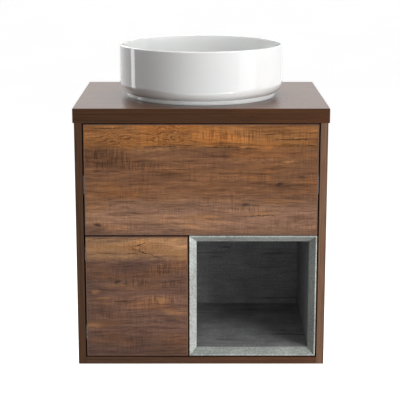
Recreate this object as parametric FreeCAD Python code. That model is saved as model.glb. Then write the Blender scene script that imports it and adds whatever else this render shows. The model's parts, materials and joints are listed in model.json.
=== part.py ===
import FreeCAD, Part
import math
import os

# Wall-hung bathroom vanity, 600 mm wide: a round vessel basin on a worktop, over a cabinet with one
# wide drawer, a small hinged door and an open cubby. Millimetres. X runs to the right, Y from the
# front to the wall, Z up. The origin is under the middle of the whole unit, level with its underside.

os.makedirs("parts", exist_ok=True)

# ---------------------------------------------------------------- overall sizes
cabinet_width = 600.0
cabinet_height = 600.0
cabinet_depth = 455.0
worktop_thickness = 35.0
worktop_side_overhang = 3.0
worktop_front_overhang = 5.0
basin_diameter = 410.0
basin_height = 130.0

# ---------------------------------------------------------------- boards
carcass_board = 18.0
front_board = 18.0
mid_board = 16.0
back_board = 8.0
drawer_board = 15.0
drawer_base_board = 8.0
notch_board = 12.0
board_arris = 0.6
worktop_arris = 1.0
rail_width = 80.0
hanging_rail_height = 90.0

# ---------------------------------------------------------------- fronts
front_gap = 3.5
cubby_top_gap = 1.5
drawer_front_height = 270.0
door_width = 246.5
press_gap = 3.0

# ---------------------------------------------------------------- cubby
cubby_wall = 17.5
cubby_lip = 3.0
cubby_service_space = 95.0

# ---------------------------------------------------------------- basin section
basin_rim = 6.5
basin_wall_taper = 1.0
basin_corner = 28.0
basin_inner_corner = 48.0
basin_foot_inset = 18.0
basin_foot_width = 14.0
basin_foot_height = 6.5
basin_groove_depth = 2.5
basin_groove_gap = 1.5
basin_recess = 12.0
basin_floor = 30.0
basin_floor_fall = 4.0
basin_seat_level = 24.0
basin_seat_margin = 2.0
basin_seat_slope = 4.0

# ---------------------------------------------------------------- waste and trap
pipe_radius = 16.0
pipe_wall = 2.0
waste_bore_gap = 2.5
waste_tail_wall = 2.4
waste_hole_gap = 2.1
waste_flange_lap = 9.0
waste_flange_thickness = 3.0
waste_seal_thickness = 2.0
waste_tail_below_worktop = 40.0
waste_countersink = 3.5
waste_rib = 3.0
waste_rib_height = 14.0
plug_inset = 1.0
plug_edge = 2.5
plug_dome = 3.0
plug_stem_radius = 4.0
plug_stem_length = 52.0
plug_lift = 8.0
lock_nut_wall = 10.1
lock_nut_height = 10.0
lower_seal_thickness = 3.0
coupling_nut_wall = 5.1
coupling_nut_height = 24.0
coupling_overlap = 14.0
trap_water_gap = 9.0
trap_wall = 4.0
trap_top_drop = 80.0
trap_height = 122.0
trap_cup_height = 54.0
trap_skirt_height = 12.0
trap_lid = 6.0
trap_collar_wall = 6.0
trap_collar_height = 10.0
trap_dip_above_base = 30.0
outlet_drop = 34.0
outlet_stub_wall = 3.0
outlet_stub_reach = 50.0
outlet_nut_wall = 4.0
outlet_nut_length = 20.0
outlet_pipe_insert = 14.0
outlet_stop_gap = 2.0
outlet_stop_length = 3.0
outlet_stop_height = 1.5

# ---------------------------------------------------------------- drawer box and runners
drawer_top_clear = 70.0
drawer_under_clear = 5.0
drawer_back_clear = 37.0
drawer_base_lift = 2.0
drawer_notch_clear = 30.0
runner_space = 13.0
runner_setback = 2.0
runner_overrun = 5.0
runner_gauge = 1.2
runner_height = 45.0
runner_flange_gap = 4.0
runner_step = 2.3
runner_middle_inset = 3.4
runner_middle_gap = 0.8
runner_drawer_gap = 2.1

# ---------------------------------------------------------------- door hinge
hinge_inset = 50.0
hinge_pivot_from_back = 8.0
hinge_cup_margin = 4.5
hinge_cup_radius = 17.5
hinge_pivot_from_cup = 2.0
hinge_cup_depth = 12.5
hinge_cup_wall = 1.0
hinge_flange_ear = 9.5
hinge_flange_width = 18.0
hinge_pin_radius = 1.75
hinge_barrel_radius = 3.2
hinge_arm_gauge = 2.5
hinge_arm_height = 12.0
hinge_arm_reach = 12.0
hinge_arm_clear = 25.0
hinge_arm_tail = 34.0
hinge_plate_thickness = 2.0
hinge_plate_height = 44.0
hinge_plate_lead = 9.0
hinge_plate_length = 48.0

# ---------------------------------------------------------------- push latches
latch_tube_radius = 6.0
latch_tube_length = 60.0
latch_axis_height = 8.0
latch_base_width = 16.0
latch_base_length = 50.0
latch_plunger_radius = 4.0
latch_plunger_length = 36.0
latch_plunger_nose = 1.2
latch_travel = 3.0
latch_back_wall = 3.0
latch_spring_radius = 2.7
latch_spring_wire = 0.4
latch_spring_pitch = 2.4
door_latch_from_divider = 16.0

# ---------------------------------------------------------------- wall fixing
wall_hole_radius = 4.25
wall_hole_spacing = 480.0
wall_hole_below_top = 40.0

# ---------------------------------------------------------------- fasteners
cam_radius = 7.5
cam_depth = 12.5
cam_from_joint = 34.0
cam_bolt_radius = 3.0
cam_bolt_in_side = 10.0
cam_slot_width = 1.6
cam_slot_depth = 1.5
dowel_radius = 4.0
dowel_in_side = 11.0
dowel_in_board = 18.0
screw_shank_radius = 2.0
screw_head_radius = 4.0
screw_head_height = 2.4
screw_slot_width = 1.0
small_screw_shank_radius = 1.6
small_screw_head_radius = 3.4
small_screw_head_height = 1.4

# ---------------------------------------------------------------- clearances
running_fit = 0.05
hole_fit = 0.05
contact_gap = 0.3

# ---------------------------------------------------------------- sizes that follow from fits
waste_bore_radius = pipe_radius + waste_bore_gap
waste_thread_radius = waste_bore_radius + waste_tail_wall
waste_hole_radius = waste_thread_radius + waste_hole_gap
waste_flange_radius = waste_hole_radius + waste_flange_lap
plug_radius = waste_flange_radius - plug_inset
basin_seat_radius = waste_flange_radius + basin_seat_margin
lock_nut_radius = waste_thread_radius + lock_nut_wall
coupling_nut_radius = waste_thread_radius + coupling_nut_wall
outlet_stub_radius = pipe_radius + hole_fit + outlet_stub_wall
outlet_nut_radius = outlet_stub_radius + outlet_nut_wall
trap_radius = pipe_radius + outlet_stub_wall + trap_water_gap + trap_wall
trap_collar_radius = pipe_radius + trap_collar_wall
drawer_notch_half_width = trap_radius + drawer_notch_clear
hinge_cup_from_edge = hinge_cup_radius + hinge_cup_margin
hinge_pivot_from_edge = hinge_cup_from_edge - hinge_pivot_from_cup
hinge_flange_length = 2 * (hinge_cup_radius + hinge_flange_ear)
hinge_cup_screw_spacing = 2 * hinge_cup_radius + hinge_flange_ear
runner_flange = runner_space - runner_flange_gap
runner_middle_flange = runner_space - runner_middle_inset - runner_gauge - runner_middle_gap
runner_drawer_flange = runner_space - runner_middle_inset - runner_gauge - runner_drawer_gap

# ---------------------------------------------------------------- places that follow from the sizes
Vec = FreeCAD.Vector
RIGHT = Vec(1, 0, 0)
BACK = Vec(0, 1, 0)
FRONT = Vec(0, -1, 0)
UP = Vec(0, 0, 1)
DOWN = Vec(0, 0, -1)

side_outer_x = cabinet_width / 2
side_inner_x = side_outer_x - carcass_board
wall_y = (cabinet_depth + worktop_front_overhang) / 2
worktop_front_y = -wall_y
front_y = worktop_front_y + worktop_front_overhang
fronts_back_y = front_y + front_board
inner_front_y = fronts_back_y + press_gap
worktop_top_z = cabinet_height + worktop_thickness

drawer_front_top_z = cabinet_height - front_gap
drawer_front_bottom_z = drawer_front_top_z - drawer_front_height
mid_bottom_z = drawer_front_bottom_z - cubby_top_gap
mid_top_z = mid_bottom_z + mid_board
front_edge_x = side_inner_x - front_gap
door_left_x = -front_edge_x
door_right_x = door_left_x + door_width
door_bottom_z = carcass_board + front_gap
door_top_z = drawer_front_bottom_z - front_gap

cubby_left_x = door_right_x + front_gap
cubby_right_x = front_edge_x
cubby_bottom_z = door_bottom_z
cubby_top_z = mid_bottom_z
cubby_back_y = wall_y - cubby_service_space
divider_left_x = cubby_left_x - carcass_board

rail_bottom_z = cabinet_height - carcass_board
front_rail_back_y = inner_front_y + rail_width
hanging_rail_front_y = wall_y - carcass_board
rear_rail_front_y = hanging_rail_front_y - rail_width
back_panel_front_y = wall_y - back_board

drawer_outer_x = side_inner_x - runner_space
drawer_inner_x = drawer_outer_x - drawer_board
drawer_bottom_z = mid_top_z + latch_axis_height + latch_tube_radius + drawer_under_clear
drawer_top_z = cabinet_height - drawer_top_clear
drawer_base_z = drawer_bottom_z + drawer_base_lift
drawer_floor_z = drawer_base_z + drawer_base_board
drawer_back_y = wall_y - drawer_back_clear
drawer_back_front_y = drawer_back_y - drawer_board
notch_outer_x = drawer_notch_half_width + notch_board
notch_front_y = -drawer_notch_half_width
runner_front_y = inner_front_y + runner_setback
runner_length = drawer_back_y + runner_overrun - runner_front_y
runner_z = (drawer_bottom_z + drawer_top_z) / 2

hinge_pivot_x = door_left_x + hinge_pivot_from_edge
hinge_pivot_y = fronts_back_y - hinge_pivot_from_back
hinge_cup_x = door_left_x + hinge_cup_from_edge
hinge_levels = (door_bottom_z + hinge_inset, door_top_z - hinge_inset)
hinge_plate_front_y = hinge_pivot_y + hinge_arm_clear - hinge_plate_lead

waste_seat_z = worktop_top_z + basin_seat_level
waste_flange_z = waste_seat_z + waste_seal_thickness
waste_top_z = waste_flange_z + waste_flange_thickness
waste_end_z = cabinet_height - waste_tail_below_worktop
trap_top_z = cabinet_height - trap_top_drop
trap_base_z = trap_top_z - trap_height
outlet_z = trap_top_z - outlet_drop


# ---------------------------------------------------------------- helpers
def block(x0, x1, y0, y1, z0, z1):
    """A plain box between two corners."""
    return Part.makeBox(x1 - x0, y1 - y0, z1 - z0, Vec(x0, y0, z0))


def eased(solid, size):
    """A solid with all its edges taken off by a small chamfer."""
    return solid.makeChamfer(size, solid.Edges)


def board(x0, x1, y0, y1, z0, z1):
    """A sawn board with eased edges."""
    return eased(block(x0, x1, y0, y1, z0, z1), board_arris)


def rod(radius, start, direction, length):
    """A round bar from a point, along a direction."""
    return Part.makeCylinder(radius, length, start, direction)


def mirrored(shape):
    """The same piece on the other side of the unit."""
    return shape.mirror(Vec(0, 0, 0), RIGHT)


def arc_step(centre_r, centre_z, radius, start_angle, end_angle):
    """An arc of an outline as its middle point and its end point, in degrees from the +r direction."""
    points = []
    for angle in ((start_angle + end_angle) / 2, end_angle):
        turn = math.radians(angle)
        points.append((centre_r + radius * math.cos(turn), centre_z + radius * math.sin(turn)))
    return points


def turned(start, steps, base_z=0.0):
    """A solid of revolution about the Z axis from an outline of (r, z) points and arc steps."""
    edges = []
    here = Vec(start[0], 0, start[1] + base_z)
    for step in steps + [start]:
        if isinstance(step, list):
            middle = Vec(step[0][0], 0, step[0][1] + base_z)
            there = Vec(step[1][0], 0, step[1][1] + base_z)
            edges.append(Part.Arc(here, middle, there).toShape())
        else:
            there = Vec(step[0], 0, step[1] + base_z)
            edges.append(Part.makeLine(here, there))
        here = there
    return Part.Face(Part.Wire(edges)).revolve(Vec(0, 0, 0), UP, 360)


def tube(outer, inner, start, direction, length):
    """A plain tube."""
    return rod(outer, start, direction, length).cut(rod(inner, start, direction, length))


def ribbed_nut(radius, start, direction, length):
    """The outer shape of a hand nut with shallow grips round it."""
    grip_count = 12
    grip_radius = 2.0
    body = rod(radius, start, direction, length)
    side = RIGHT if abs(direction.x) < 0.5 else BACK
    grips = []
    for number in range(grip_count):
        arm = FreeCAD.Rotation(direction, number * 360.0 / grip_count).multVec(side)
        grips.append(rod(grip_radius, start + arm * (radius + grip_radius * 0.6), direction, length))
    return body.cut(grips)


def screw(seat, direction, length, shank, head, head_height):
    """A screw whose head stands on the seat and whose shank goes in along the direction."""
    slot_long = head * 2.2
    body = rod(head, seat - direction * head_height, direction, head_height)
    body = body.makeFillet(head_height * 0.4, [rim_edge(body, seat - direction * head_height)])
    body = body.fuse(rod(shank, seat, direction, length))
    across = BACK if abs(direction.y) < 0.5 else UP
    along = direction.cross(across)
    slot = Part.makeBox(slot_long, screw_slot_width, head_height)
    slot.translate(Vec(-slot_long / 2, -screw_slot_width / 2, -head_height * 1.5))
    turn = FreeCAD.Rotation(along, across, direction, "ZXY")
    slot.Placement = FreeCAD.Placement(seat, turn).multiply(slot.Placement)
    return body.cut(slot)


def rim_edge(cylinder, face_point):
    """The circular edge of a cylinder in the plane through a point on its end."""
    circles = [edge for edge in cylinder.Edges if isinstance(edge.Curve, Part.Circle)]
    return min(circles, key=lambda edge: (edge.Curve.Center - face_point).Length)


def wood_screws(places, length):
    """Ordinary wood screws at (seat, direction) places."""
    return [screw(seat, way, length, screw_shank_radius, screw_head_radius, screw_head_height)
            for seat, way in places]


def small_screws(places, length):
    """Flat-headed fitting screws at (seat, direction) places."""
    return [screw(seat, way, length, small_screw_shank_radius, small_screw_head_radius,
                  small_screw_head_height) for seat, way in places]


def screw_holes(places, length, shank):
    """The holes that screws at these places need, a little wider and deeper than their shanks."""
    return [rod(shank + hole_fit, seat, way, length + hole_fit) for seat, way in places]


def small_screw_holes(places, length):
    """The holes for fitting screws at these places."""
    return screw_holes(places, length, small_screw_shank_radius)


def save(name, *solids):
    """Write one node, as one solid or as a group of separate solids."""
    shape = solids[0] if len(solids) == 1 else Part.makeCompound(list(solids))
    if len(shape.Solids) != len(solids):
        raise ValueError(name + " has " + str(len(shape.Solids)) + " solids")
    if not shape.isValid():
        raise ValueError(name + " is not a valid solid")
    shape.exportStep("parts/" + name + ".step")


# ---------------------------------------------------------------- carcass joints
board_joint_levels = {
    "bottom": carcass_board / 2,
    "mid": (mid_bottom_z + mid_top_z) / 2,
    "rail": cabinet_height - carcass_board / 2,
}
long_board_cams = (front_y + 60.0, wall_y - 70.0)
long_board_dowels = (front_y + 100.0, wall_y - 110.0)
rail_middles = ((inner_front_y + front_rail_back_y) / 2, (rear_rail_front_y + hanging_rail_front_y) / 2)
rail_dowel_offset = 22.0
cam_faces = {"bottom": 0.0, "mid": mid_bottom_z, "rail": rail_bottom_z}
hanging_dowel_levels = (cabinet_height - 25.0, cabinet_height - hanging_rail_height + 20.0)


def cam_places():
    """(board, y) of each cam lock on the right side; the left side is its mirror."""
    places = [(name, y) for name in ("bottom", "mid") for y in long_board_cams]
    return places + [("rail", y) for y in rail_middles]


def dowel_places():
    """(y, z) of each dowel between a board and the right side panel."""
    places = [(y, board_joint_levels[name]) for name in ("bottom", "mid") for y in long_board_dowels]
    for middle in rail_middles:
        for offset in (-rail_dowel_offset, rail_dowel_offset):
            places.append((middle + offset, board_joint_levels["rail"]))
    hanging_middle_y = (hanging_rail_front_y + wall_y) / 2
    return places + [(hanging_middle_y, z) for z in hanging_dowel_levels]


def both_sides(solids):
    """Solids on the right together with their mirror images."""
    return solids + [mirrored(solid) for solid in solids]


def cam_disc(name, y, radius):
    """A cam lock let into the underside of a board."""
    return rod(radius, Vec(side_inner_x - cam_from_joint, y, cam_faces[name]), UP, cam_depth)


def cam_discs():
    """The cam locks, each with its screwdriver slot."""
    discs = []
    for name, y in cam_places():
        disc = cam_disc(name, y, cam_radius - hole_fit)
        x = side_inner_x - cam_from_joint
        z = cam_faces[name]
        slot = block(x - cam_radius, x + cam_radius, y - cam_slot_width / 2, y + cam_slot_width / 2,
                     z, z + cam_slot_depth)
        discs.append(disc.cut(slot))
    return both_sides(discs)


def cam_bolts(radius, start_gap):
    """The bolts screwed into the side panels that the cams pull on."""
    inner_x = side_inner_x - cam_from_joint + cam_radius + start_gap
    outer_x = side_inner_x + cam_bolt_in_side
    return both_sides([rod(radius, Vec(inner_x, y, board_joint_levels[name]), RIGHT, outer_x - inner_x)
                       for name, y in cam_places()])


def dowels(radius, extra_length):
    """The wooden dowels between the side panels and the boards."""
    start_x = side_inner_x - dowel_in_board - extra_length
    length = dowel_in_board + dowel_in_side + 2 * extra_length
    return both_sides([rod(radius, Vec(start_x, y, z), RIGHT, length) for y, z in dowel_places()])


def divider_dowels(radius, extra_length):
    """The dowels that hold the divider between the bottom and the middle board."""
    x = (divider_left_x + cubby_left_x) / 2
    pegs = []
    for y in long_board_dowels:
        for joint_z, below in ((carcass_board, dowel_in_side), (mid_bottom_z, dowel_in_board)):
            length = dowel_in_side + dowel_in_board + 2 * extra_length
            pegs.append(rod(radius, Vec(x, y, joint_z - below - extra_length), UP, length))
    return pegs


def carcass_holes():
    """Every hole that the cams, their bolts and the dowels need."""
    pockets = both_sides([cam_disc(name, y, cam_radius) for name, y in cam_places()])
    bolts = cam_bolts(cam_bolt_radius + hole_fit, -1.0)
    return pockets + bolts + dowels(dowel_radius + hole_fit, hole_fit) \
        + divider_dowels(dowel_radius + hole_fit, hole_fit)


# ---------------------------------------------------------------- screw places
worktop_screw_x = 170.0
worktop_screw_length = carcass_board + 20.0
cubby_screw_inset = 45.0
cubby_screw_length = mid_board + 12.0
runner_screw_length = 12.0
runner_screw_ends = 40.0
hinge_plate_screw_length = 12.0
hinge_plate_screw_spacing = 32.0
hinge_plate_screw_lead = 12.0
hinge_cup_screw_length = 10.0
bracket_screw_length = 11.0


def worktop_screw_places():
    columns = (-worktop_screw_x, worktop_screw_x)
    return [(Vec(x, y, rail_bottom_z), UP) for x in columns for y in rail_middles]


def cubby_screw_places():
    columns = (cubby_left_x + cubby_screw_inset, cubby_right_x - cubby_screw_inset)
    rows = (front_y + 2 * cubby_screw_inset, cubby_back_y - 2 * cubby_screw_inset)
    return [(Vec(x, y, mid_top_z), DOWN) for x in columns for y in rows]


def runner_screw_rows():
    """Screws at both ends and the middle of a runner."""
    first = runner_front_y + runner_screw_ends
    last = runner_front_y + runner_length - runner_screw_ends
    return (first, (first + last) / 2, last)


def cabinet_runner_screw_places():
    x = side_inner_x - runner_gauge
    right = [(Vec(x, y, runner_z), RIGHT) for y in runner_screw_rows()]
    return right + [(Vec(-x, y, runner_z), -RIGHT) for y in runner_screw_rows()]


def drawer_runner_screw_places():
    x = drawer_outer_x + runner_gauge
    right = [(Vec(x, y, runner_z), -RIGHT) for y in runner_screw_rows()]
    return right + [(Vec(-x, y, runner_z), RIGHT) for y in runner_screw_rows()]


def hinge_plate_screw_places():
    x = -side_inner_x + hinge_plate_thickness
    y = hinge_plate_front_y + hinge_plate_screw_lead
    offsets = (-hinge_plate_screw_spacing / 2, hinge_plate_screw_spacing / 2)
    return [(Vec(x, y, z + offset), -RIGHT) for z in hinge_levels for offset in offsets]


def hinge_cup_screw_places():
    y = fronts_back_y + hinge_cup_wall
    offsets = (-hinge_cup_screw_spacing / 2, hinge_cup_screw_spacing / 2)
    return [(Vec(hinge_cup_x, y, z + offset), FRONT) for z in hinge_levels for offset in offsets]


# ---------------------------------------------------------------- worktop and basin
def worktop():
    """The worktop, with eased upper edges and the hole for the waste."""
    half = side_outer_x + worktop_side_overhang
    slab = block(-half, half, worktop_front_y, wall_y, cabinet_height, worktop_top_z)
    top_edges = [edge for edge in slab.Edges if edge.BoundBox.ZMin > worktop_top_z - 1]
    low_edges = [edge for edge in slab.Edges if edge.BoundBox.ZMax < worktop_top_z - 1]
    slab = slab.makeChamfer(board_arris, low_edges)
    top_edges = [edge for edge in slab.Edges if edge.BoundBox.ZMin > worktop_top_z - 1e-3]
    slab = slab.makeFillet(worktop_arris, top_edges)
    hole = rod(waste_hole_radius, Vec(0, 0, cabinet_height - 1), UP, worktop_thickness + 2)
    screws = screw_holes(worktop_screw_places(), worktop_screw_length, screw_shank_radius)
    return slab.cut([hole] + screws)


def basin():
    """The round ceramic basin: straight wall, round rim, soft lower corner and a narrow foot ring."""
    outer = basin_diameter / 2
    rim_round = basin_rim / 2
    foot_outer = outer - basin_foot_inset
    neck = foot_outer - basin_groove_depth
    corner_r = outer - basin_corner
    corner_z = basin_foot_height + basin_groove_gap + basin_corner
    neck_drop = math.sqrt(basin_corner ** 2 - (neck - corner_r) ** 2)
    neck_angle = math.degrees(math.atan2(-neck_drop, neck - corner_r))
    inner_top = outer - basin_rim
    inner_low = inner_top - basin_wall_taper
    inner_corner_r = inner_low - basin_inner_corner
    inner_corner_z = basin_floor + basin_inner_corner
    seat_rise_radius = basin_seat_radius + basin_seat_slope
    foot_inner = foot_outer - basin_foot_width
    steps = [
        (foot_outer, 0),
        (foot_outer, basin_foot_height),
        (neck, basin_foot_height),
        (neck, corner_z - neck_drop),
        arc_step(corner_r, corner_z, basin_corner, neck_angle, 0),
        (outer, basin_height - rim_round),
        arc_step(outer - rim_round, basin_height - rim_round, rim_round, 0, 180),
        (inner_low, inner_corner_z),
        arc_step(inner_corner_r, inner_corner_z, basin_inner_corner, 0, -90),
        (seat_rise_radius, basin_floor - basin_floor_fall),
        (basin_seat_radius, basin_seat_level),
        (waste_hole_radius, basin_seat_level),
        (waste_hole_radius, basin_recess),
        (foot_inner, basin_recess),
    ]
    return turned((foot_inner, 0), steps, worktop_top_z)


# ---------------------------------------------------------------- carcass
def side_panel():
    """The right side panel."""
    panel = board(side_inner_x, side_outer_x, front_y, wall_y, 0, cabinet_height)
    screws = small_screw_holes(cabinet_runner_screw_places(), runner_screw_length)
    return panel.cut(carcass_holes() + screws)


def side_panel_left():
    """The left side panel, which also carries the door hinges."""
    plate_holes = small_screw_holes(hinge_plate_screw_places(), hinge_plate_screw_length)
    return mirrored(side_panel()).cut(plate_holes)


def bottom_panel():
    panel = board(-side_inner_x, side_inner_x, front_y, wall_y, 0, carcass_board)
    return panel.cut(carcass_holes())


def mid_panel():
    """The board between the drawer and the door and cubby below it."""
    panel = board(-side_inner_x, side_inner_x, inner_front_y, wall_y, mid_bottom_z, mid_top_z)
    screws = screw_holes(cubby_screw_places(), cubby_screw_length, screw_shank_radius)
    return panel.cut(carcass_holes() + screws)


def divider():
    """The upright board between the door's compartment and the cubby."""
    panel = board(divider_left_x, cubby_left_x, inner_front_y, back_panel_front_y,
                  carcass_board, mid_bottom_z)
    return panel.cut(divider_dowels(dowel_radius + hole_fit, hole_fit))


def top_rail(y0, y1):
    """A flat rail under the worktop."""
    rail = board(-side_inner_x, side_inner_x, y0, y1, rail_bottom_z, cabinet_height)
    screws = screw_holes(worktop_screw_places(), worktop_screw_length, screw_shank_radius)
    return rail.cut(carcass_holes() + screws)


def hanging_rail():
    """The upright rail at the back that is bolted to the wall."""
    bottom_z = cabinet_height - hanging_rail_height
    rail = board(-side_inner_x, side_inner_x, hanging_rail_front_y, wall_y, bottom_z, cabinet_height)
    hole_z = cabinet_height - wall_hole_below_top
    holes = [rod(wall_hole_radius, Vec(x, hanging_rail_front_y - 1, hole_z), BACK, carcass_board + 2)
             for x in (-wall_hole_spacing / 2, wall_hole_spacing / 2)]
    return rail.cut(carcass_holes() + holes)


def back_panel():
    """The thin back behind the lower compartments."""
    return board(-side_inner_x, side_inner_x, back_panel_front_y, wall_y, carcass_board, mid_bottom_z)


# ---------------------------------------------------------------- cubby
def cubby_frame_wall(corners, inner_corners):
    """One mitred wall of the cubby, from two outer and two inner corners, with its bevelled front."""
    bevel = cubby_wall - cubby_lip
    outer_a, outer_b = corners
    inner_a, inner_b = inner_corners

    def lip_point(outer, inner):
        return outer + (inner - outer) * (cubby_lip / cubby_wall)

    front = Vec(0, front_y, 0)
    inner_front = Vec(0, front_y + bevel, 0)
    back = Vec(0, cubby_back_y, 0)
    ring_a = [outer_a + front, lip_point(outer_a, inner_a) + front, inner_a + inner_front,
              inner_a + back, outer_a + back]
    ring_b = [outer_b + front, lip_point(outer_b, inner_b) + front, inner_b + inner_front,
              inner_b + back, outer_b + back]
    faces = [Part.Face(Part.makePolygon(ring + [ring[0]])) for ring in (ring_a, ring_b)]
    for number in range(len(ring_a)):
        after = (number + 1) % len(ring_a)
        side = [ring_a[number], ring_a[after], ring_b[after], ring_b[number]]
        faces.append(Part.Face(Part.makePolygon(side + [side[0]])))
    wall = Part.Solid(Part.makeShell(faces))
    if wall.Volume < 0:
        wall.reverse()
    return wall


def cubby_corner(right, top, inset):
    """A corner of the cubby's outline, set in from the outside."""
    x = cubby_right_x - inset if right else cubby_left_x + inset
    z = cubby_top_z - inset if top else cubby_bottom_z + inset
    return Vec(x, 0, z)


def cubby_wall_between(first, second):
    """The cubby wall between two corners, each given as (right, top)."""
    outer = [cubby_corner(*first, 0), cubby_corner(*second, 0)]
    inner = [cubby_corner(*first, cubby_wall), cubby_corner(*second, cubby_wall)]
    return cubby_frame_wall(outer, inner)


def cubby_top():
    screws = screw_holes(cubby_screw_places(), cubby_screw_length, screw_shank_radius)
    return cubby_wall_between((False, True), (True, True)).cut(screws)


def cubby_back():
    low = cubby_corner(False, False, cubby_wall)
    high = cubby_corner(True, True, cubby_wall)
    return block(low.x, high.x, cubby_back_y - back_board, cubby_back_y, low.z, high.z)


# ---------------------------------------------------------------- drawer
def drawer_front():
    panel = board(-front_edge_x, front_edge_x, front_y, fronts_back_y,
                  drawer_front_bottom_z, drawer_front_top_z)
    return panel.cut(small_screw_holes(bracket_screw_places("front"), bracket_screw_length))


def drawer_side():
    """The right side of the drawer box."""
    panel = board(drawer_inner_x, drawer_outer_x, fronts_back_y, drawer_back_y,
                  drawer_bottom_z, drawer_top_z)
    runner_holes = small_screw_holes(drawer_runner_screw_places(), runner_screw_length)
    bracket_holes = small_screw_holes(bracket_screw_places("side"), bracket_screw_length)
    return panel.cut(runner_holes + bracket_holes)


def drawer_base():
    """The drawer's bottom, with a deep notch so that the trap stands clear of it."""
    base = block(-drawer_inner_x, drawer_inner_x, fronts_back_y, drawer_back_y,
                 drawer_base_z, drawer_floor_z)
    notch = block(-drawer_notch_half_width, drawer_notch_half_width, notch_front_y, drawer_back_y + 1,
                  drawer_base_z - 1, drawer_floor_z + 1)
    return base.cut(notch)


def drawer_back():
    """The right half of the drawer's back."""
    return board(drawer_notch_half_width, drawer_inner_x, drawer_back_front_y, drawer_back_y,
                 drawer_floor_z, drawer_top_z)


def notch_side():
    """The wall on the right of the notch."""
    return board(drawer_notch_half_width, notch_outer_x, notch_front_y, drawer_back_front_y,
                 drawer_floor_z, drawer_top_z)


def notch_front():
    return board(-notch_outer_x, notch_outer_x, notch_front_y - notch_board, notch_front_y,
                 drawer_floor_z, drawer_top_z)


bracket_leg = 26.0
bracket_gauge = 2.0
bracket_height = 46.0
bracket_screw_rise = 13.0


def bracket_level():
    return (drawer_floor_z + drawer_top_z) / 2 - bracket_height / 2


def bracket_screw_places(leg):
    """Screws through one leg of the corner brackets: into the drawer's front or into its sides."""
    places = []
    levels = (bracket_level() + bracket_screw_rise, bracket_level() + bracket_height - bracket_screw_rise)
    for z in levels:
        if leg == "front":
            x = drawer_inner_x - bracket_leg * 0.6
            y = fronts_back_y + bracket_gauge
            places += [(Vec(x, y, z), FRONT), (Vec(-x, y, z), FRONT)]
        else:
            x = drawer_inner_x - bracket_gauge
            y = fronts_back_y + bracket_leg * 0.6
            places += [(Vec(x, y, z), RIGHT), (Vec(-x, y, z), -RIGHT)]
    return places


def drawer_bracket():
    """The steel angle that holds the drawer's front to its right side."""
    z0 = bracket_level()
    z1 = z0 + bracket_height
    side_leg = block(drawer_inner_x - bracket_gauge, drawer_inner_x, fronts_back_y,
                     fronts_back_y + bracket_leg, z0, z1)
    front_leg = block(drawer_inner_x - bracket_leg, drawer_inner_x, fronts_back_y,
                      fronts_back_y + bracket_gauge, z0, z1)
    holes = small_screw_holes(bracket_screw_places("front"), bracket_screw_length)
    holes += small_screw_holes(bracket_screw_places("side"), bracket_screw_length)
    return side_leg.fuse(front_leg).removeSplitter().cut(holes)


# ---------------------------------------------------------------- runners
def channel(web_x0, web_x1, flange_x0, flange_x1, half_height):
    """A rolled channel along Y: a web with two flanges."""
    y0 = runner_front_y
    y1 = runner_front_y + runner_length
    outer = block(flange_x0, flange_x1, y0, y1, runner_z - half_height, runner_z + half_height)
    if web_x0 > flange_x0:
        hollow = block(flange_x0 - 1, web_x0, y0 - 1, y1 + 1,
                       runner_z - half_height + runner_gauge, runner_z + half_height - runner_gauge)
    else:
        hollow = block(web_x1, flange_x1 + 1, y0 - 1, y1 + 1,
                       runner_z - half_height + runner_gauge, runner_z + half_height - runner_gauge)
    return outer.cut(hollow)


def runner_cabinet():
    """The right runner's outer member, screwed to the cabinet."""
    web = side_inner_x - runner_gauge
    member = channel(web, side_inner_x, side_inner_x - runner_flange, side_inner_x, runner_height / 2)
    return member.cut(small_screw_holes(cabinet_runner_screw_places(), runner_screw_length))


def runner_middle():
    """The right runner's middle member."""
    outer_x = side_inner_x - runner_middle_inset
    half = runner_height / 2 - runner_gauge - runner_step
    return channel(outer_x - runner_gauge, outer_x, outer_x - runner_middle_flange, outer_x, half)


def runner_drawer():
    """The right runner's inner member, screwed to the drawer."""
    half = runner_height / 2 - 2 * runner_gauge - 2 * runner_step
    member = channel(drawer_outer_x, drawer_outer_x + runner_gauge, drawer_outer_x,
                     drawer_outer_x + runner_drawer_flange, half)
    return member.cut(small_screw_holes(drawer_runner_screw_places(), runner_screw_length))


# ---------------------------------------------------------------- door and hinges
def door_panel():
    """The door, bored for the hinge cups and their screws."""
    panel = board(door_left_x, door_right_x, front_y, fronts_back_y, door_bottom_z, door_top_z)
    cups = [rod(hinge_cup_radius + hole_fit, Vec(hinge_cup_x, fronts_back_y - hinge_cup_depth - hole_fit, z),
                BACK, hinge_cup_depth + 1) for z in hinge_levels]
    screws = small_screw_holes(hinge_cup_screw_places(), hinge_cup_screw_length)
    return panel.cut(cups + screws)


def hinge_pin(z):
    """The pivot pin across a hinge cup."""
    reach = math.sqrt(hinge_cup_radius ** 2 - (hinge_pivot_x - hinge_cup_x) ** 2) - hinge_cup_wall / 2
    return rod(hinge_pin_radius, Vec(hinge_pivot_x, hinge_pivot_y, z - reach), UP, 2 * reach)


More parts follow.
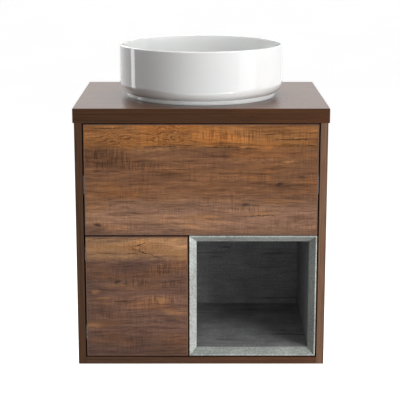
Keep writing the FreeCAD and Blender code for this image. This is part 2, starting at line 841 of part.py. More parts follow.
def hinge_cup(z):
    """A hinge cup with its screw flange on the door's back."""
    cup = rod(hinge_cup_radius, Vec(hinge_cup_x, fronts_back_y - hinge_cup_depth, z), BACK, hinge_cup_depth)
    rim = rod(hinge_cup_radius + 2, Vec(hinge_cup_x, fronts_back_y, z), BACK, hinge_cup_wall)
    flange = block(hinge_cup_x - hinge_flange_width / 2, hinge_cup_x + hinge_flange_width / 2,
                   fronts_back_y, fronts_back_y + hinge_cup_wall,
                   z - hinge_flange_length / 2, z + hinge_flange_length / 2)
    flange = rounded_in_plan(flange, BACK, 5.0)
    hollow = rod(hinge_cup_radius - hinge_cup_wall,
                 Vec(hinge_cup_x, fronts_back_y - hinge_cup_depth + hinge_cup_wall, z), BACK,
                 hinge_cup_depth + 2)
    screws = small_screw_holes(hinge_cup_screw_places(), hinge_cup_screw_length)
    return cup.fuse([rim, flange]).removeSplitter().cut([hollow, hinge_pin(z)] + screws)


def rounded_in_plan(solid, direction, radius):
    """A plate with its four corner edges rounded, where those edges run along a direction."""
    corners = []
    for edge in solid.Edges:
        if abs(edge.tangentAt(edge.FirstParameter).dot(direction)) > 0.99:
            corners.append(edge)
    return solid.makeFillet(radius, corners)


def hinge_arm(z):
    """The bent arm from the pin, out of the cup and back to the mounting plate on the side panel."""
    half = hinge_arm_gauge / 2
    z0 = z - hinge_arm_height / 2
    z1 = z + hinge_arm_height / 2
    elbow_x = hinge_pivot_x + hinge_arm_reach
    return_y = hinge_pivot_y + hinge_arm_clear
    plate_x = -side_inner_x + hinge_plate_thickness
    first = block(hinge_pivot_x, elbow_x + half, hinge_pivot_y - half, hinge_pivot_y + half, z0, z1)
    second = block(elbow_x - half, elbow_x + half, hinge_pivot_y - half, return_y + half, z0, z1)
    third = block(plate_x, elbow_x + half, return_y - half, return_y + half, z0, z1)
    tail = block(plate_x, plate_x + hinge_arm_gauge, return_y - half, return_y + hinge_arm_tail, z0, z1)
    barrel = rod(hinge_barrel_radius, Vec(hinge_pivot_x, hinge_pivot_y, z0), UP, hinge_arm_height)
    bore = rod(hinge_pin_radius + running_fit, Vec(hinge_pivot_x, hinge_pivot_y, z0 - 1), UP,
               hinge_arm_height + 2)
    return first.fuse([second, third, tail, barrel]).removeSplitter().cut(bore)


def hinge_plate(z):
    """The mounting plate on the side panel that an arm is clipped to."""
    plate = block(-side_inner_x, -side_inner_x + hinge_plate_thickness, hinge_plate_front_y,
                  hinge_plate_front_y + hinge_plate_length,
                  z - hinge_plate_height / 2, z + hinge_plate_height / 2)
    plate = rounded_in_plan(plate, RIGHT, 6.0)
    return plate.cut(small_screw_holes(hinge_plate_screw_places(), hinge_plate_screw_length))


# ---------------------------------------------------------------- push latches
def latch_housing(x, face_z, up):
    """A push latch: a tube on a base that is fixed to a board; up is 1 on top of a board, -1 below."""
    axis_z = face_z + up * latch_axis_height
    tube_front = inner_front_y + 1.0
    barrel = rod(latch_tube_radius, Vec(x, tube_front, axis_z), BACK, latch_tube_length)
    low_z, high_z = sorted((face_z, axis_z))
    base_y = tube_front + (latch_tube_length - latch_base_length) / 2
    base = block(x - latch_base_width / 2, x + latch_base_width / 2, base_y, base_y + latch_base_length,
                 low_z, high_z)
    bore = rod(latch_plunger_radius + running_fit, Vec(x, tube_front - 1, axis_z), BACK,
               latch_tube_length - latch_back_wall + 1)
    return barrel.fuse(base).removeSplitter().cut(bore)


def latch_plunger(x, axis_z):
    """The plunger that meets the back of the front it opens."""
    start_y = fronts_back_y + contact_gap
    pin = rod(latch_plunger_radius, Vec(x, start_y, axis_z), BACK, latch_plunger_length)
    return pin.makeFillet(latch_plunger_nose, [rim_edge(pin, Vec(x, start_y, axis_z))])


def latch_spring(x, axis_z):
    """The coil spring behind a plunger, short enough to stay clear of it when it is pressed."""
    start_y = fronts_back_y + contact_gap + latch_plunger_length + latch_travel + 1.0
    end_y = inner_front_y + 1.0 + latch_tube_length - latch_back_wall - 1.0
    helix = Part.makeHelix(latch_spring_pitch, end_y - start_y, latch_spring_radius)
    section = Part.Wire(Part.makeCircle(latch_spring_wire, Vec(latch_spring_radius, 0, 0), BACK))
    coil = Part.Wire(helix).makePipeShell([section], True, True)
    coil.Placement = FreeCAD.Placement(Vec(x, start_y, axis_z), FreeCAD.Rotation(RIGHT, -90))
    return coil


drawer_latch_x = 0.0
door_latch_x = divider_left_x - door_latch_from_divider
drawer_latch_z = mid_top_z + latch_axis_height
door_latch_z = mid_bottom_z - latch_axis_height


# ---------------------------------------------------------------- waste, plug and trap
def waste_body():
    """The waste: a flange in the basin, a threaded tail down through the worktop, and a plug guide."""
    shell = turned((waste_bore_radius, waste_end_z), [
        (waste_thread_radius, waste_end_z),
        (waste_thread_radius, waste_flange_z),
        (waste_flange_radius, waste_flange_z),
        (waste_flange_radius, waste_top_z - 1.0),
        (waste_flange_radius - 1.5, waste_top_z),
        (waste_bore_radius + waste_countersink, waste_top_z),
        (waste_bore_radius, waste_top_z - waste_countersink * 1.5),
    ])
    guide_z = waste_top_z - plug_stem_length + plug_lift / 2
    guide_radius = plug_stem_radius + 2.5
    pieces = [rod(guide_radius, Vec(0, 0, guide_z), UP, waste_rib_height)]
    for number in range(3):
        rib = block(0, waste_bore_radius + 0.5, -waste_rib / 2, waste_rib / 2,
                    guide_z, guide_z + waste_rib_height)
        rib.rotate(Vec(0, 0, 0), UP, number * 120)
        pieces.append(rib)
    bore = rod(plug_stem_radius + running_fit, Vec(0, 0, guide_z - 1), UP, waste_rib_height + 2)
    return shell.fuse(pieces).removeSplitter().cut(bore)


def waste_plug():
    """The domed plug on its stem, shut."""
    under_z = waste_top_z + contact_gap
    edge_z = under_z + plug_edge
    dome_radius = (plug_radius ** 2 + plug_dome ** 2) / (2 * plug_dome)
    half_turn = math.asin(plug_radius / dome_radius) / 2
    dome_middle = (dome_radius * math.sin(half_turn),
                   edge_z + plug_dome - dome_radius * (1 - math.cos(half_turn)))
    stem_end_z = under_z - plug_stem_length
    return turned((0, stem_end_z), [
        (plug_stem_radius, stem_end_z),
        (plug_stem_radius, under_z),
        (plug_radius - 1.0, under_z),
        (plug_radius, under_z + 1.0),
        (plug_radius, edge_z),
        [dome_middle, (0, edge_z + plug_dome)],
    ])


def upper_seal():
    return tube(waste_flange_radius - 1.0, waste_thread_radius + hole_fit, Vec(0, 0, waste_seat_z), UP,
                waste_seal_thickness)


def lower_seal():
    return tube(lock_nut_radius - 1.0, waste_thread_radius + hole_fit,
                Vec(0, 0, cabinet_height - lower_seal_thickness), UP, lower_seal_thickness)


def lock_nut():
    """The big nut that pulls the waste and the basin down on the worktop."""
    start = Vec(0, 0, cabinet_height - lower_seal_thickness - lock_nut_height)
    bore = rod(waste_thread_radius + hole_fit, start - UP, UP, lock_nut_height + 2)
    return ribbed_nut(lock_nut_radius, start, UP, lock_nut_height).cut(bore)


def inlet_pipe():
    """The dip pipe from the waste down into the trap."""
    bottom_z = trap_base_z + trap_dip_above_base
    top_z = waste_end_z + coupling_overlap
    return tube(pipe_radius, pipe_radius - pipe_wall, Vec(0, 0, bottom_z), UP, top_z - bottom_z)


def inlet_nut():
    """The coupling nut between the waste's tail and the inlet pipe."""
    bottom_z = waste_end_z - (coupling_nut_height - coupling_overlap)
    nut = ribbed_nut(coupling_nut_radius, Vec(0, 0, bottom_z), UP, coupling_nut_height)
    pipe_bore = rod(pipe_radius + hole_fit, Vec(0, 0, bottom_z - 1), UP, coupling_nut_height + 2)
    tail_bore = rod(waste_thread_radius + hole_fit, Vec(0, 0, waste_end_z), UP, coupling_overlap + 1)
    return nut.cut([pipe_bore, tail_bore])


def trap_body():
    """The bottle trap's body, with the inlet collar on top and the outlet stub at the back."""
    inner = pipe_radius + trap_water_gap
    skirt_top_z = trap_base_z + trap_cup_height
    skirt_z = skirt_top_z - trap_skirt_height
    outer = rod(trap_radius, Vec(0, 0, skirt_top_z), UP, trap_top_z - skirt_top_z)
    outer = outer.makeFillet(4.0, [rim_edge(outer, Vec(0, 0, trap_top_z))])
    skirt = rod(trap_radius - trap_wall, Vec(0, 0, skirt_z), UP, trap_skirt_height)
    collar = rod(trap_collar_radius, Vec(0, 0, trap_top_z), UP, trap_collar_height)
    stub = rod(outlet_stub_radius, Vec(0, 0, outlet_z), BACK, outlet_stub_reach)
    hollow = rod(inner, Vec(0, 0, skirt_z - 1), UP, trap_top_z - trap_lid - skirt_z + 1)
    inlet_length = trap_top_z + trap_collar_height + 1 - skirt_z
    inlet = rod(pipe_radius + hole_fit, Vec(0, 0, skirt_z), UP, inlet_length)
    outlet = rod(pipe_radius + hole_fit, Vec(0, 0, outlet_z), BACK, outlet_stub_reach + 1)
    return outer.fuse([skirt, collar, stub]).removeSplitter().cut([hollow, inlet, outlet])


def trap_cup():
    """The cup that screws on under the trap, for cleaning."""
    outer = rod(trap_radius, Vec(0, 0, trap_base_z), UP, trap_cup_height)
    outer = outer.makeFillet(6.0, [rim_edge(outer, Vec(0, 0, trap_base_z))])
    floor_z = trap_base_z + trap_wall
    hollow = rod(trap_radius - trap_wall + hole_fit, Vec(0, 0, floor_z), UP, trap_cup_height)
    return outer.cut(hollow)


def outlet_nut():
    """The coupling nut on the trap's outlet."""
    overlap = outlet_nut_length / 2
    start_y = outlet_stub_reach - overlap
    nut = ribbed_nut(outlet_nut_radius, Vec(0, start_y, outlet_z), BACK, outlet_nut_length)
    pipe_bore = rod(pipe_radius + hole_fit, Vec(0, start_y - 1, outlet_z), BACK, outlet_nut_length + 2)
    stub_bore = rod(outlet_stub_radius + hole_fit, Vec(0, start_y - 1, outlet_z), BACK, overlap + 1)
    return nut.cut([pipe_bore, stub_bore])


def outlet_pipe():
    """The pipe from the trap straight back to the wall. A rolled bead just past the nut stops what slides on it."""
    start_y = outlet_stub_reach - outlet_pipe_insert
    pipe = tube(pipe_radius, pipe_radius - pipe_wall, Vec(0, start_y, outlet_z), BACK, wall_y - start_y)
    stop_y = outlet_stub_reach + outlet_nut_length / 2 + outlet_stop_gap
    stop = tube(pipe_radius + outlet_stop_height, pipe_radius - pipe_wall / 2, Vec(0, stop_y, outlet_z), BACK,
                outlet_stop_length)
    return pipe.fuse(stop).removeSplitter()


# ---------------------------------------------------------------- build
def build_worktop_and_basin():
    save("worktop", worktop())
    save("basin", basin())
    save("waste_body", waste_body())
    save("waste_plug", waste_plug())
    save("waste_upper_seal", upper_seal())
    save("waste_lower_seal", lower_seal())
    save("waste_lock_nut", lock_nut())
    save("trap_inlet_pipe", inlet_pipe())
    save("trap_inlet_nut", inlet_nut())
    save("trap_body", trap_body())
    save("trap_cup", trap_cup())
    save("trap_outlet_nut", outlet_nut())
    save("trap_outlet_pipe", outlet_pipe())


def build_carcass():
    save("side_panel_right", side_panel())
    save("side_panel_left", side_panel_left())
    save("bottom_panel", bottom_panel())
    save("mid_panel", mid_panel())
    save("divider", divider())
    save("front_rail", top_rail(inner_front_y, front_rail_back_y))
    save("rear_rail", top_rail(rear_rail_front_y, hanging_rail_front_y))
    save("hanging_rail", hanging_rail())
    save("back_panel", back_panel())
    save("cam_locks", *cam_discs())
    save("cam_bolts", *cam_bolts(cam_bolt_radius, hole_fit))
    save("carcass_dowels", *(dowels(dowel_radius, 0.0) + divider_dowels(dowel_radius, 0.0)))
    worktop_set = wood_screws(worktop_screw_places(), worktop_screw_length)
    cubby_set = wood_screws(cubby_screw_places(), cubby_screw_length)
    save("carcass_screws", *(worktop_set + cubby_set))


def build_cubby():
    save("cubby_left", cubby_wall_between((False, False), (False, True)))
    save("cubby_right", cubby_wall_between((True, True), (True, False)))
    save("cubby_top", cubby_top())
    save("cubby_bottom", cubby_wall_between((True, False), (False, False)))
    save("cubby_back", cubby_back())


def build_drawer():
    save("drawer_front", drawer_front())
    save("drawer_side_right", drawer_side())
    save("drawer_side_left", mirrored(drawer_side()))
    save("drawer_base", drawer_base())
    save("drawer_back_right", drawer_back())
    save("drawer_back_left", mirrored(drawer_back()))
    save("drawer_notch_right", notch_side())
    save("drawer_notch_left", mirrored(notch_side()))
    save("drawer_notch_front", notch_front())
    save("drawer_brackets", drawer_bracket(), mirrored(drawer_bracket()))
    bracket_places = bracket_screw_places("front") + bracket_screw_places("side")
    bracket_set = small_screws(bracket_places, bracket_screw_length)
    runner_set = small_screws(drawer_runner_screw_places(), runner_screw_length)
    save("drawer_screws", *(bracket_set + runner_set))


def build_runners():
    save("runner_cabinet_right", runner_cabinet())
    save("runner_cabinet_left", mirrored(runner_cabinet()))
    save("runner_middle_right", runner_middle())
    save("runner_middle_left", mirrored(runner_middle()))
    save("runner_drawer_right", runner_drawer())
    save("runner_drawer_left", mirrored(runner_drawer()))


def build_door():
    save("door_panel", door_panel())
    save("hinge_cups", *[hinge_cup(z) for z in hinge_levels])
    save("hinge_pins", *[hinge_pin(z) for z in hinge_levels])
    save("hinge_cup_screws", *small_screws(hinge_cup_screw_places(), hinge_cup_screw_length))
    save("hinge_arms", *[hinge_arm(z) for z in hinge_levels])
    save("hinge_plates", *[hinge_plate(z) for z in hinge_levels])
    runner_set = small_screws(cabinet_runner_screw_places(), runner_screw_length)
    hinge_set = small_screws(hinge_plate_screw_places(), hinge_plate_screw_length)
    save("cabinet_fitting_screws", *(runner_set + hinge_set))


def build_latches():
    save("drawer_latch_housing", latch_housing(drawer_latch_x, mid_top_z, 1))
    save("drawer_latch_plunger", latch_plunger(drawer_latch_x, drawer_latch_z))
    save("door_latch_housing", latch_housing(door_latch_x, mid_bottom_z, -1))
    save("door_latch_plunger", latch_plunger(door_latch_x, door_latch_z))
    springs = [latch_spring(drawer_latch_x, drawer_latch_z), latch_spring(door_latch_x, door_latch_z)]
    save("latch_springs", *springs)


build_worktop_and_basin()
build_carcass()
build_cubby()
build_drawer()
build_runners()
build_door()
build_latches()
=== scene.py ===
"""Vessel basin on a wall-hung vanity: the finished pieces and materials, built round the packed frame."""

import json
import math

import bmesh
import bpy
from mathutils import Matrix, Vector


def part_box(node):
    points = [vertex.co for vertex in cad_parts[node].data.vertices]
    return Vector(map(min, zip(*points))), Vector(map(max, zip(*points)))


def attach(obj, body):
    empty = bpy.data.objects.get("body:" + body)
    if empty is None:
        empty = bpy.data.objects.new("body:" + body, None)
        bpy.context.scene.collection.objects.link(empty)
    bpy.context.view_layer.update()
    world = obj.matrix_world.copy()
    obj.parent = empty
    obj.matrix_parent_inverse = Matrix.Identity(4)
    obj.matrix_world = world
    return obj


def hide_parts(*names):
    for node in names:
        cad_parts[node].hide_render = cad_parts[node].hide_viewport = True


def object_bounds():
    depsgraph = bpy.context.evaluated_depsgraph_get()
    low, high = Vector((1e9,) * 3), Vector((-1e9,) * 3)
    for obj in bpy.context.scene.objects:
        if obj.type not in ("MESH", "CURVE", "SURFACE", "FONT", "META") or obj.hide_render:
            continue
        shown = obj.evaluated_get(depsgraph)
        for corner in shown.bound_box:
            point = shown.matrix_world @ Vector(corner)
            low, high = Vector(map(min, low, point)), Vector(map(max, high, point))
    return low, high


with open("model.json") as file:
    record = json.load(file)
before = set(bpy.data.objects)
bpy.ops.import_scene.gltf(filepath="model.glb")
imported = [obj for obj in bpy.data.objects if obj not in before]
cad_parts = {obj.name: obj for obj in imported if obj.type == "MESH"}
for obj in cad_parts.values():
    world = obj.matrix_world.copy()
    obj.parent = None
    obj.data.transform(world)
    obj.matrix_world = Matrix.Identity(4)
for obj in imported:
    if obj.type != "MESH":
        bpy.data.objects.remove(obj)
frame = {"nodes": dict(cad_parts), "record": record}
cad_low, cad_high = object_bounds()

bl_info = {
    "name": "Vessel Basin Vanity",
    "version": (1, 0, 0),
    "blender": (4, 5, 0),
    "location": "3D View > Sidebar > Vanity",
    "description": "Builds the basin, boards, fronts and fittings of a wall-hung vanity round its frame",
    "category": "Object",
}

# Metres: when two places count as one, when two points are merged, the width of the line beside the edge
# band, the radius of the worktop's hole, and how far a drill runs past the board.
SMALL = 1e-4
MERGE = 1e-6
GROOVE = 0.00018
WORKTOP_HOLE = 0.025
DRILL_OVERRUN = 0.01


# ---------------------------------------------------------------- modelling helpers
def look_at(piece):
    """Only this piece is selected and active."""
    bpy.ops.object.select_all(action="DESELECT")
    piece.select_set(True)
    bpy.context.view_layer.objects.active = piece


def open_mesh(piece):
    """The piece in edit mode with nothing selected."""
    look_at(piece)
    bpy.ops.object.mode_set(mode="EDIT")
    bpy.ops.mesh.select_all(action="DESELECT")


def close_mesh():
    """Back to object mode."""
    bpy.ops.object.mode_set(mode="OBJECT")


def pick_faces(piece, wanted):
    """Selects the faces, in edit mode, whose centre and normal pass the test."""
    bpy.ops.mesh.select_mode(type="FACE")
    mesh = bmesh.from_edit_mesh(piece.data)
    for face in mesh.faces:
        face.select_set(wanted(face.calc_center_median(), face.normal))
    mesh.select_flush_mode()
    bmesh.update_edit_mesh(piece.data)


def pick_edges(piece, wanted):
    """Selects the edges, in edit mode, whose two ends pass the test."""
    bpy.ops.mesh.select_mode(type="EDGE")
    mesh = bmesh.from_edit_mesh(piece.data)
    for edge in mesh.edges:
        edge.select_set(wanted(edge.verts[0].co, edge.verts[1].co))
    mesh.select_flush_mode()
    bmesh.update_edit_mesh(piece.data)


def settle(piece):
    """Puts the piece's place and size into its mesh."""
    look_at(piece)
    bpy.ops.object.transform_apply(location=True, rotation=True, scale=True)


def block(name, low, high):
    """A block between two corners, as a start for a board."""
    low, high = Vector(low), Vector(high)
    bpy.ops.object.select_all(action="DESELECT")
    bpy.ops.mesh.primitive_cube_add(size=1.0, location=(low + high) / 2)
    piece = bpy.context.active_object
    piece.name = name
    piece.scale = high - low
    settle(piece)
    return piece


def cylinder(name, radius, bottom_z, top_z, sides):
    """An upright cylinder on the Z axis, as a cutting tool."""
    bpy.ops.object.select_all(action="DESELECT")
    middle = (0.0, 0.0, (bottom_z + top_z) / 2)
    depth = top_z - bottom_z
    bpy.ops.mesh.primitive_cylinder_add(vertices=sides, radius=radius, depth=depth, location=middle)
    piece = bpy.context.active_object
    piece.name = name
    settle(piece)
    return piece


def bevel(piece, width, segments=3, angle=30.0):
    """Eases every edge sharper than the angle."""
    look_at(piece)
    eased = piece.modifiers.new("ease", "BEVEL")
    eased.width = width
    eased.segments = segments
    eased.limit_method = "ANGLE"
    eased.angle_limit = math.radians(angle)
    eased.harden_normals = False
    bpy.ops.object.modifier_apply(modifier=eased.name)


def shade(piece, angle=40.0):
    """Smooth shading, with each broad face kept flat right up to its eased edges."""
    look_at(piece)
    bpy.ops.object.shade_smooth_by_angle(angle=math.radians(angle))
    flat = piece.modifiers.new("flat", "WEIGHTED_NORMAL")
    flat.keep_sharp = True
    bpy.ops.object.modifier_apply(modifier=flat.name)


def round_shade(piece, angle):
    """Smooth shading for a turned piece."""
    look_at(piece)
    bpy.ops.object.shade_smooth_by_angle(angle=math.radians(angle))


def arc(centre, radius, start, end, steps):
    """Points of an arc in the outline's plane, angles in degrees, its first point left out."""
    turns = [math.radians(start + (end - start) * number / steps) for number in range(1, steps + 1)]
    return [(centre[0] + radius * math.cos(turn), centre[1] + radius * math.sin(turn)) for turn in turns]


def lathe(name, outline, steps, base_z=0.0, closed=True):
    """A turned piece: an outline of (radius, height) points, drawn by extruding and spun about Z."""
    points = [Vector((radius, 0.0, base_z + height)) for radius, height in outline]
    bpy.ops.object.select_all(action="DESELECT")
    bpy.ops.mesh.primitive_plane_add(size=0.01, location=points[0])
    piece = bpy.context.active_object
    piece.name = name
    settle(piece)
    look_at(piece)
    bpy.ops.object.mode_set(mode="EDIT")
    bpy.ops.mesh.select_mode(type="VERT")
    bpy.ops.mesh.select_all(action="SELECT")
    bpy.ops.mesh.merge(type="CENTER")
    run = points[1:] + points[:1] if closed else points[1:]
    here = points[0]
    for point in run:
        bpy.ops.mesh.extrude_region_move(TRANSFORM_OT_translate={"value": point - here})
        here = point
    bpy.ops.mesh.select_all(action="SELECT")
    bpy.ops.mesh.remove_doubles(threshold=MERGE)
    bpy.ops.mesh.spin(steps=steps, angle=2 * math.pi, center=(0.0, 0.0, 0.0), axis=(0.0, 0.0, 1.0))
    bpy.ops.mesh.select_all(action="SELECT")
    bpy.ops.mesh.remove_doubles(threshold=MERGE)
    bpy.ops.mesh.normals_make_consistent(inside=False)
    close_mesh()
    return piece


def finish_piece(piece, body, slot, *nodes):
    """Ties a finished piece to its body and hides the nodes that it stands for; slot is not used."""
    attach(piece, body)
    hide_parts(*nodes)
    return piece


def dress(piece, *materials):
    """Gives a piece its materials, in order."""
    for material in materials:
        piece.data.materials.append(material)


# ---------------------------------------------------------------- material helpers
class Graph:
    """One material's nodes: each method adds a node, joins its inputs and gives back its output."""

    def __init__(self, name):
        self.material = bpy.data.materials.new(name)
        self.material.use_nodes = True
        self.nodes = self.material.node_tree.nodes
        self.links = self.material.node_tree.links
        self.nodes.clear()
        place = self.nodes.new("ShaderNodeTexCoord")
        self.place = place.outputs["Object"]
        self.axes = self.nodes.new("ShaderNodeSeparateXYZ")
        self.links.new(self.place, self.axes.inputs[0])

    def x(self):
        return self.axes.outputs["X"]

    def y(self):
        return self.axes.outputs["Y"]

    def z(self):
        return self.axes.outputs["Z"]

    def join(self, socket, value):
        if value is None:
            return
        if isinstance(value, bpy.types.NodeSocket):
            self.links.new(value, socket)
        else:
            socket.default_value = value

    def math(self, operation, first, second=None):
        node = self.nodes.new("ShaderNodeMath")
        node.operation = operation
        for socket, value in zip(node.inputs, (first, second)):
            self.join(socket, value)
        return node.outputs[0]

    def add(self, first, second):
        return self.math("ADD", first, second)

    def times(self, first, second):
        return self.math("MULTIPLY", first, second)

    def swing(self, value, reach):
        """How far the value lies from its middle of 0.5, times the reach."""
        return self.times(self.math("SUBTRACT", value, 0.5), reach)

    def vector(self, x, y, z):
        node = self.nodes.new("ShaderNodeCombineXYZ")
        for socket, value in zip(node.inputs, (x, y, z)):
            self.join(socket, value)
        return node.outputs[0]

    def stretch(self, scale, source=None):
        """The place, scaled: large numbers make a finer pattern."""
        node = self.nodes.new("ShaderNodeMapping")
        self.join(node.inputs["Vector"], self.place if source is None else source)
        node.inputs["Scale"].default_value = scale
        return node.outputs[0]

    def even(self, scale):
        """The place, scaled alike on every axis."""
        return self.stretch((scale, scale, scale))

    def noise(self, source, detail=3.0, roughness=0.55, distortion=0.0):
        """Cloudy noise, about 0.5 on average."""
        node = self.nodes.new("ShaderNodeTexNoise")
        self.join(node.inputs["Vector"], source)
        node.inputs["Scale"].default_value = 1.0
        node.inputs["Detail"].default_value = detail
        node.inputs["Roughness"].default_value = roughness
        node.inputs["Distortion"].default_value = distortion
        return node.outputs["Fac"]

    def cells(self, source):
        """Distance to the nearest of many scattered points."""
        node = self.nodes.new("ShaderNodeTexVoronoi")
        self.join(node.inputs["Vector"], source)
        node.inputs["Scale"].default_value = 1.0
        node.inputs["Randomness"].default_value = 1.0
        return node.outputs["Distance"]

    def band(self, value, low, high, out_low=0.0, out_high=1.0, step="SMOOTHSTEP"):
        """The value carried from low..high to out_low..out_high, by a smooth step or by the step named."""
        node = self.nodes.new("ShaderNodeMapRange")
        node.interpolation_type = step
        self.join(node.inputs["Value"], value)
        node.inputs["From Min"].default_value = low
        node.inputs["From Max"].default_value = high
        node.inputs["To Min"].default_value = out_low
        node.inputs["To Max"].default_value = out_high
        return node.outputs["Result"]

    def spot(self, source, centre, size, turn=0.0):
        """1 at the centre of an ellipse in the XZ plane, falling to 0 at its edge."""
        node = self.nodes.new("ShaderNodeMapping")
        node.vector_type = "TEXTURE"
        self.join(node.inputs["Vector"], source)
        node.inputs["Location"].default_value = (centre[0], 0.0, centre[1])
        node.inputs["Rotation"].default_value = (0.0, math.radians(turn), 0.0)
        node.inputs["Scale"].default_value = (size[0], 10.0, size[1])
        ball = self.nodes.new("ShaderNodeTexGradient")
        ball.gradient_type = "SPHERICAL"
        self.links.new(node.outputs[0], ball.inputs["Vector"])
        return ball.outputs["Fac"]

    def blend(self, share, first, second, kind="MIX"):
        """Colour first turned into colour second by share."""
        node = self.nodes.new("ShaderNodeMix")
        node.data_type = "RGBA"
        node.blend_type = kind
        node.clamp_result = True
        self.join(node.inputs["Factor"], share)
        self.join(node.inputs["A"], first)
        self.join(node.inputs["B"], second)
        return node.outputs["Result"]

    def toned(self, colour, factors):
        """The colour with its red, green and blue multiplied."""
        return self.blend(1.0, colour, tuple(factors) + (1.0,), "MULTIPLY")

    def ramp(self, value, stops):
        node = self.nodes.new("ShaderNodeValToRGB")
        self.join(node.inputs["Fac"], value)
        elements = node.color_ramp.elements
        while len(elements) < len(stops):
            elements.new(0.5)
        for element, (position, colour) in zip(elements, stops):
            element.position = position
            element.color = colour
        return node.outputs["Color"]

    def bump(self, height, distance, strength=1.0, below=None):
        node = self.nodes.new("ShaderNodeBump")
        node.inputs["Strength"].default_value = strength
        node.inputs["Distance"].default_value = distance
        self.join(node.inputs["Height"], height)
        self.join(node.inputs["Normal"], below)
        return node.outputs["Normal"]

    def edges(self, radius):
        """1 along the piece's convex edges, for wear. It reads the mesh's own shape."""
        node = self.nodes.new("ShaderNodeNewGeometry")
        return self.band(node.outputs["Pointiness"], 0.5 + radius, 0.5 + 3 * radius)

    def finish(self, colour, roughness, normal=None, **sockets):
        shader = self.nodes.new("ShaderNodeBsdfPrincipled")
        output = self.nodes.new("ShaderNodeOutputMaterial")
        self.join(shader.inputs["Base Color"], colour)
        self.join(shader.inputs["Roughness"], roughness)
        self.join(shader.inputs["Normal"], normal)
        for name, value in sockets.items():
            self.join(shader.inputs[name.replace("_", " ")], value)
        self.links.new(shader.outputs[0], output.inputs["Surface"])
        return self.material


def shade_of(colour, factor):
    """A colour made lighter or darker, with its alpha."""
    return tuple(min(channel * factor, 1.0) for channel in tuple(colour)[:3]) + (1.0,)


# ---------------------------------------------------------------- wood
OAK_TINTS = ("golden", "straw", "honey", "brown", "mauve", "umber", "dark")
# Marks on the fronts, as (x, z), (half length, half height), turn in degrees, strength. Metres.
DRAWER_MARKS = {
    "dark": (
        ((-0.235, 0.512), (0.085, 0.045), 4, 0.75),
        ((-0.165, 0.497), (0.075, 0.018), -6, 0.55),
        ((-0.100, 0.470), (0.120, 0.050), 0, 0.30),
        ((0.195, 0.445), (0.085, 0.040), 6, 0.45),
        ((0.120, 0.402), (0.055, 0.016), 0, 0.45),
        ((-0.262, 0.338), (0.070, 0.022), 3, 0.75),
        ((0.235, 0.430), (0.060, 0.055), 0, 0.35),
    ),
    "knots": (
        ((-0.248, 0.3525), (0.016, 0.0080), 8, 1.0),
        ((0.186, 0.4520), (0.014, 0.0070), -20, 0.95),
        ((0.240, 0.4690), (0.020, 0.0085), 10, 0.60),
        ((0.106, 0.4030), (0.017, 0.0060), 0, 0.70),
        ((-0.247, 0.4830), (0.016, 0.0040), 0, 0.70),
    ),
    "light": (
        ((0.212, 0.507), (0.026, 0.0050), 0, 0.9),
        ((0.105, 0.5430), (0.024, 0.0022), 0, 0.8),
        ((0.190, 0.5405), (0.006, 0.0022), 0, 0.8),
        ((0.140, 0.3800), (0.050, 0.0042), -3, 0.9),
        ((0.090, 0.4120), (0.040, 0.0030), -2, 0.6),
        ((-0.150, 0.5330), (0.016, 0.0130), 30, 0.7),
        ((-0.110, 0.5360), (0.075, 0.0080), -5, 0.7),
        ((-0.040, 0.5120), (0.120, 0.0045), -2, 0.3),
        ((0.130, 0.5120), (0.150, 0.0045), -1, 0.4),
        ((-0.010, 0.3720), (0.070, 0.0090), -2, 0.5),
    ),
    "cracks": (
        ((-0.093, 0.5433), (0.052, 0.0011), -2.4, 1.0),
        ((-0.030, 0.5462), (0.030, 0.0010), -1.0, 0.7),
        ((0.050, 0.5405), (0.060, 0.0011), 0.5, 0.7),
        ((0.235, 0.5608), (0.075, 0.0012), 0.4, 0.9),
        ((0.235, 0.5447), (0.075, 0.0010), 0.0, 0.8),
        ((0.115, 0.5385), (0.026, 0.0010), 0.0, 0.9),
        ((0.155, 0.5725), (0.040, 0.0010), 1.0, 0.6),
        ((0.262, 0.5750), (0.022, 0.0010), 1.0, 0.7),
        ((-0.055, 0.4880), (0.060, 0.0009), 0.0, 0.8),
        ((0.142, 0.3745), (0.058, 0.0012), -2.0, 0.8),
        ((-0.225, 0.5870), (0.050, 0.0012), 0.0, 0.7),
    ),
    "swirls": (
        ((-0.075, 0.5690), (0.075, 0.0420), 0, 1.0),
        ((-0.200, 0.5650), (0.080, 0.0360), 0, 0.8),
    ),
    "chatter": (
        ((-0.225, 0.5130), (0.090, 0.0360), 0, 1.0),
        ((-0.150, 0.4950), (0.080, 0.0160), 0, 0.8),
        ((0.080, 0.5680), (0.240, 0.0300), 0, 0.55),
        ((0.110, 0.3890), (0.110, 0.0170), 0, 0.5),
    ),
}
